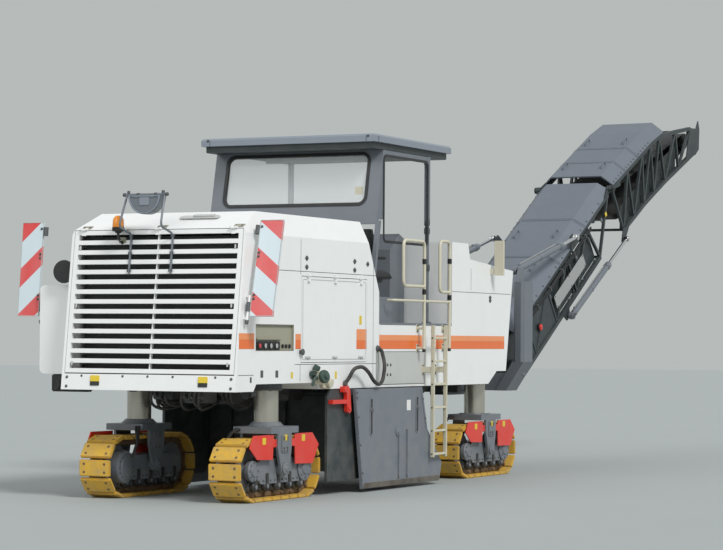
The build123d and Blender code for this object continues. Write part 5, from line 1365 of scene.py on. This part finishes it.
def buildDrum():
    core, holders, picks = newMeshes(3)
    half = cutter["half"] / 1000
    radius = cutter["core"] / 1000
    centre = spot(cutter["x"], 0, cutter["z"])
    addTurned(core, centre - Vector((0, half, 0)), axisY,
              [(0.0, radius - 0.06), (0.004, radius - 0.008), (0.014, radius), (2 * half - 0.014, radius),
               (2 * half - 0.004, radius - 0.008), (2 * half, radius - 0.06)], 72)
    endY = max(abs(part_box("milling_drum")[0][1] - centre.y), abs(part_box("milling_drum")[1][1] - centre.y))
    for side in (-1, 1):
        face = centre + Vector((0, side * half, 0))
        addTurned(core, face, (0, side, 0), [(-0.02, 0.30), (0.0, 0.30), (0.004, 0.296), (0.006, 0.17),
                                             (0.012, 0.165), (0.014, 0.12), (endY - half, 0.12),
                                             (endY - half, 0.05)], 48)
        addBoltCircle(holders, face + Vector((0, side * 0.005, 0)), axisX, axisZ, 0.235, 12, (0, side, 0),
                      0.013, 0.012)
    for side in (-1, 1):
        for row in range(cutter["rows"]):
            flight = []
            for i in range(cutter["perRow"]):
                turn = math.radians(row * 360 / cutter["rows"] + i * cutter["twist"])
                y = side * (cutter["step"] * (i + 0.5) + (row % 2) * cutter["step"] / 2) / 1000
                outward = Vector((math.cos(turn), 0, -math.sin(turn)))
                ahead = Vector((math.sin(turn), 0, math.cos(turn)))
                root = centre + Vector((0, y, 0)) + outward * radius
                flight.append(root)
                seat = seatAt(root, ahead, outward)
                addBox(holders, (-58, 44), (-27, 27), (-14, 30), 7, seat)
                axis = (outward * 0.80 + ahead * 0.60).normalized()
                foot = root - ahead * 0.036 + outward * 0.012
                addTurned(holders, foot, axis, [(0.0, 0.027), (0.045, 0.027), (0.058, 0.023)], 14)
                addTurned(picks, foot + axis * 0.056, axis,
                          [(0.0, 0.018), (0.006, 0.020), (0.012, 0.0165), (0.034, 0.013), (0.048, 0.0075),
                           (cutter["pickLength"] - 0.056, 0.0015)], 12)
            for a, b in zip(flight, flight[1:]):
                mid = (a + b) / 2
                radial = Vector((mid.x - centre.x, 0, mid.z - centre.z)).normalized()
                seat = seatAt(mid + radial * 0.004, b - a, radial)
                span = (b - a).length * 1000
                addBox(core, (-span / 2, span / 2), (-9, 9), (-30, 24), 2, seat)
    body = place(core, "drumCore", "drumSteel", "drum")
    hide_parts("milling_drum")
    placeAll("drum", (holders, "toolHolders", "drumSteel"), (picks, "cuttingPicks", "carbide"))


buildDrum()
print("milling drum made")

# Discharge conveyor: covers, idlers, belt fittings
covers = {
    "edgeY": 565, "crownY": 400, "baseV": 325.6, "rise": 130, "tipRise": 150, "tipLift": 28.1, "tipLength": 1522,
    "tipStart": (90, 20), "tipRun": (1340, 722), "tipSquare": (-0.4745, 0.880), "bolts": 15, "boltIn": 24,
    "handleOut": 420, "handleY": 300,
}


# A place on the tip's cover: t along it from 0 to 1, and lift square to it
def tipRun(t, lift, y):
    (startU, startW), (runU, runW), (squareU, squareW) = (covers[key] for key in ("tipStart", "tipRun", "tipSquare"))
    return onTip(startU + runU * t + squareU * lift, startW + runW * t + squareW * lift, y)


def buildConveyorCovers():
    for name, body, run, rise, stops, span in (
            ("lowerCover", "conveyor_lower", lambda u, v, y: onSection(u, covers["baseV"] + v, y), covers["rise"],
             (1010, 1960, 2910), (330, 3830)),
            ("tipCover", "conveyor_tip", lambda u, v, y: tipRun(u / covers["tipLength"], covers["tipLift"] + v, y),
             covers["tipRise"], (520, 1010), (60, 1490))):
        seams, bolts, edges = newMeshes(3)
        slope = Vector((covers["edgeY"] - covers["crownY"], rise, 0)).normalized()
        faceRun = covers["edgeY"] - covers["crownY"]
        faceLength = math.hypot(faceRun, rise)
        for u in stops:
            middle = run(u, rise, 0)
            along, upward = run(u + 100, rise, 0) - middle, run(u, rise + 100, 0) - middle
            addBox(seams, (-4, 4), (-392, 392), (-2, 1.6), 0, seatAt(middle, along, upward))
            addBox(edges, (-34, -8), (-385, 385), (-2, 5.0), 1.5, seatAt(middle, along, upward))
            for side in (-1, 1):
                halfY = side * (covers["edgeY"] + covers["crownY"]) / 2
                centre = run(u, rise / 2, halfY)
                normal = run(u, rise / 2 + 100 * slope.x, halfY + side * 100 * slope.y) - centre
                seat = seatAt(centre, along, normal)
                addBox(seams, (-4, 4), (-faceLength / 2 + 8, faceLength / 2 - 8), (-2, 1.6), 0, seat)
                addBox(edges, (-34, -8), (-faceLength / 2 + 12, faceLength / 2 - 12), (-2, 5.0), 1.5, seat)
        for side in (-1, 1):
            for i in range(covers["bolts"]):
                u = span[0] + (span[1] - span[0]) * (i + 0.5) / covers["bolts"]
                halfY = side * (covers["edgeY"] - covers["boltIn"])
                boltRise = rise * covers["boltIn"] / faceRun
                centre = run(u, boltRise, halfY)
                normal = run(u, boltRise + 100 * slope.x, halfY + side * 100 * slope.y) - centre
                addBolt(bolts, centre, normal.normalized(), 0.010, 0.008)
        # Lifting handles on the crown
        middleU = (span[0] + span[1]) / 2
        for u in (middleU - covers["handleOut"], middleU + covers["handleOut"]):
            for side in (-1, 1):
                y = side * covers["handleY"]
                addPipe(edges, [run(u - 80, rise, y), run(u - 80, rise + 46, y), run(u + 80, rise + 46, y),
                                run(u + 80, rise, y)], 0.008, 0.03, 10)
        placeAll(body, (seams, name + "Seams", "black"), (edges, name + "Laps", "cover"),
                 (bolts, name + "Bolts", "castGrey"))


idlers = {"count": 7, "startU": 520, "step": 490, "rows": ((82, 40), (-283, 24)), "lowerEnd": 3000}


def buildIdlers():
    rollers, brackets, steel = newMeshes(3)
    for i in range(idlers["count"]):
        u = idlers["startU"] + i * idlers["step"]
        for v, radius in idlers["rows"]:
            if v < 0 and u > idlers["lowerEnd"]:
                continue
            start = onSection(u, v, -410)
            across = onSection(u, v, 410) - start
            width = across.length
            across.normalize()
            addTurned(rollers, start, across, [(0.0, radius / 1000 * 0.6), (0.004, radius / 1000),
                                               (width - 0.004, radius / 1000), (width, radius / 1000 * 0.6)], 20)
            addTurned(steel, onSection(u, v, -536), across, [(0.0, 0.011), (1.072, 0.011)], 10)
            for y in (-528, 528):
                addBox(brackets, (-26, 26), (-6, 6), (-30, 34), 4, sectionSeat(u, v, y))
    placeAll("conveyor_lower", (rollers, "beltIdlers", "castGrey"), (brackets, "idlerBrackets", "slate"),
             (steel, "idlerShafts", "silver"))


conveyorSide = {"faceY": 566, "plateU": 2070, "plateV": -25, "lampU": 950, "lampV": -30}


def buildConveyorSide():
    banner, lens, dark, steel, marks = newMeshes(5)
    faceY = conveyorSide["faceY"]
    # Bare bright plate on the right side, and a red lamp before it
    seat = sectionSeat(conveyorSide["plateU"], conveyorSide["plateV"], -faceY)
    addSheet(banner, roundedRectangle(1080, 190, 10), seat, 3, 1)
    for u in (-510, 0, 510):
        for v in (-78, 78):
            addBolt(dark, seat @ Vector((u / 1000, -0.003, v / 1000)), seatWay(seat, 0, -1, 0), 0.007, 0.005)
    lampU, lampV = conveyorSide["lampU"], conveyorSide["lampV"]
    for sideY in (-faceY, faceY):
        outer = (onSection(lampU, lampV, sideY * 1.2) - onSection(lampU, lampV, sideY)).normalized()
        addTurned(dark, onSection(lampU, lampV, sideY), outer, [(-0.006, 0.052), (0.012, 0.052), (0.014, 0.046)], 28)
        addTurned(lens, onSection(lampU, lampV, sideY), outer,
                  [(0.012, 0.045), (0.022, 0.043), (0.030, 0.030), (0.033, 0.008)], 28)
        # Knee bearing: a housing with a bolted cap round the folding pin
        pin = onSection(boom["length"], boom["depth"] / 2 + 15, sideY * 1.075)
        addTurned(dark, pin, outer,
                  [(-0.010, 0.046), (0.010, 0.046), (0.014, 0.040), (0.015, 0.018), (0.021, 0.018)], 28)
        along = (onSection(3000, 0, 0) - onSection(2000, 0, 0)).normalized()
        upward = (onSection(2000, 1000, 0) - onSection(2000, 0, 0)).normalized()
        addBoltCircle(steel, pin + outer * 0.013, along, upward, 0.031, 6, outer, 0.005, 0.005)
    # Hose pair and clips along the right upper chord
    for lift in (0, 30):
        path = [onSection(360 + i * 440, 232 + lift + (6 if i % 2 else -6), -590) for i in range(7)]
        addPipe(dark, path, 0.012, 0.15, 10)
    for i in range(6):
        seat = sectionSeat(580 + i * 440, 247, -580)
        addBox(steel, (-14, 14), (-26, 14), (-34, 34), 3, seat)
    marksSeat = sectionSeat(3560, 120, -faceY)
    addSheet(marks, roundedRectangle(58, 58, 6), marksSeat, 2)
    placeAll("conveyor_lower", (banner, "sidePlateBare", "silver"), (lens, "sideLamps", "redLens"),
             (dark, "conveyorHoses", "black"), (steel, "conveyorClips", "castGrey"),
             (marks, "conveyorMarks", "markYellow"))


buildConveyorCovers()
buildIdlers()
buildConveyorSide()
print("conveyor dressed")

# Cylinders of the conveyor
cylinders = {"barrel": 0.042, "pipeStart": 0.12, "pipeEnd": 0.13}


def dressCylinder(name, anchor, lug, length, barrelBody, rodBody):
    dark, bright, caps = newMeshes(3)
    for side in (-1, 1):
        start, end = anchor(side), lug(side)
        axis = (end - start).normalized()
        across = (boomSpot(0, side * 100, 0) - boomSpot(0, 0, 0)).normalized()
        r = cylinders["barrel"]
        gland = start + axis * (length / 1000)
        addRing(dark, gland, axis, [(-0.085, r), (-0.085, r + 0.006), (-0.078, r + 0.008), (-0.020, r + 0.008),
                                    (0.004, r + 0.004), (0.010, 0.030), (0.010, 0.0246), (-0.010, 0.0246)], 32)
        for along in (0.075, length / 2000):
            addRing(dark, start + axis * along, axis,
                    [(0.0, r - 0.001), (0.002, r + 0.004), (0.024, r + 0.004), (0.026, r - 0.001)], 32)
        upward = axis.cross(across).normalized()
        if upward.z < 0:
            upward.negate()
        pipeStart, pipeEnd = cylinders["pipeStart"], length / 1000 - cylinders["pipeEnd"]
        for along in (pipeStart, pipeEnd):
            foot = start + axis * along + upward * (r - 0.002)
            addTurned(dark, foot, upward, [(0.0, 0.018), (0.016, 0.018), (0.018, 0.014), (0.026, 0.014)], 16)
        ends = [start + axis * along + upward * (r + 0.016) for along in (pipeStart + 0.02, pipeEnd - 0.02)]
        addPipe(bright, ends, 0.008, 0.0, 10)
        addTurned(caps, start + across * 0.031, across,
                  [(0.0, 0.034), (0.004, 0.034), (0.006, 0.029), (0.007, 0.012), (0.010, 0.010)], 24)
    placeAll(barrelBody, (dark, name + "Glands", "slate"), (bright, name + "Pipes", "silver"),
             (caps, name + "PinCaps", "castGrey"))
    tips = bmesh.new()
    for side in (-1, 1):
        end = lug(side)
        across = (boomSpot(0, side * 100, 0) - boomSpot(0, 0, 0)).normalized()
        addTurned(tips, end + across * 0.031, across,
                  [(0.0, 0.030), (0.004, 0.030), (0.006, 0.025), (0.007, 0.010), (0.010, 0.008)], 24)
    place(tips, name + "RodEyes", "silver", rodBody)


dressCylinder("luffing", lambda side: boomSpot(230, side * 645, 2600), lambda side: onSection(2430, 455, side * 645),
              1400, "luffing_barrel", "luffing_rod")
dressCylinder("folding", lambda side: onSection(1750, -385, side * 625), lambda side: onTip(420, -700, side * 625),
              1380, "folding_barrel", "folding_rod")
print("cylinders dressed")

# Side plates
sidePlate = {
    "face": 1124, "runnerWidth": 60, "boltStep": 260, "slotXs": (1800, 2990),
    "outline": ((1590, 40), (3610, 40), (3680, 250), (3270, 660), (3120, 1140), (1400, 1140), (1420, 1000)),
}


def buildSidePlates():
    for name, side in (("side_plate_right", -1), ("side_plate_left", 1)):
        flange, bolts, marks, wear = newMeshes(4)
        y = side * sidePlate["face"]
        toFace = (1 if side < 0 else -1, 0, 0)
        points, runner = sidePlate["outline"], sidePlate["runnerWidth"]
        for a, b, width in ((points[6], points[0], 44), (points[5], points[6], 44), (points[4], points[3], 36),
                            (points[0], points[1], runner)):
            run = Vector((b[0] - a[0], 0, b[1] - a[1]))
            inward = axisY.cross(run).normalized()
            middle = Vector(((a[0] + b[0]) / 2, 0, (a[1] + b[1]) / 2))
            centroid = Vector((2500, 0, 600))
            if (centroid - middle).dot(inward) < 0:
                inward.negate()
            middle += inward * (width / 2 + 3)
            seat = seatAt(spot(middle.x, y, middle.z), run if side < 0 else run * -1, inward)
            if seatWay(seat, 0, -1, 0).y * side < 0:
                seat = seatAt(spot(middle.x, y, middle.z), run * -1 if side < 0 else run, inward)
            length = run.length - 30
            addSheet(wear if width == runner else flange, roundedRectangle(length, width, 6), seat,
                     10 if width == runner else 6, 1.5)
            count = max(2, int(length / sidePlate["boltStep"]))
            for i in range(count):
                across = -length / 2 + length * (i + 0.5) / count
                addBolt(bolts, seat @ Vector((across / 1000, -0.006, 0)), (0, side, 0), 0.010, 0.008)
        # Guide slots, boss and a blank label
        for x in sidePlate["slotXs"]:
            seat = seatAt(spot(x, y, 830), toFace, axisZ)
            addFrame(flange, roundedRectangle(74, 430, 37, 8), roundedRectangle(44, 400, 22, 8), seat, -6)
            addSheet(marks, roundedRectangle(42, 398, 21, 8), seat, 0.8)
            addTurned(bolts, spot(x, y, 900), (0, side, 0),
                      [(0.0, 0.034), (0.009, 0.034), (0.012, 0.024), (0.018, 0.022)], 24)
        addTurned(flange, spot(2472, y, 640), (0, side, 0),
                  [(0.0, 0.046), (0.010, 0.046), (0.014, 0.040), (0.015, 0.022), (0.024, 0.020)], 30)
        for x, z in ((2500, 655), (2720, 655), (2500, 125), (2720, 125)):
            addTurned(bolts, spot(x, y, z), (0, side, 0), [(0.0, 0.014), (0.006, 0.014), (0.010, 0.010)], 12)
        labels = bmesh.new()
        addSheet(labels, roundedRectangle(105, 120, 6), seatAt(spot(2765, y, 940), toFace, axisZ), 1.5)
        placeAll(name, (flange, name + "Flange", "sidePlate"), (wear, name + "Runner", "drumSteel"),
                 (bolts, name + "Bolts", "castGrey"), (marks, name + "Slots", "black"),
                 (labels, name + "Label", "label"))


buildSidePlates()
print("side plates dressed")
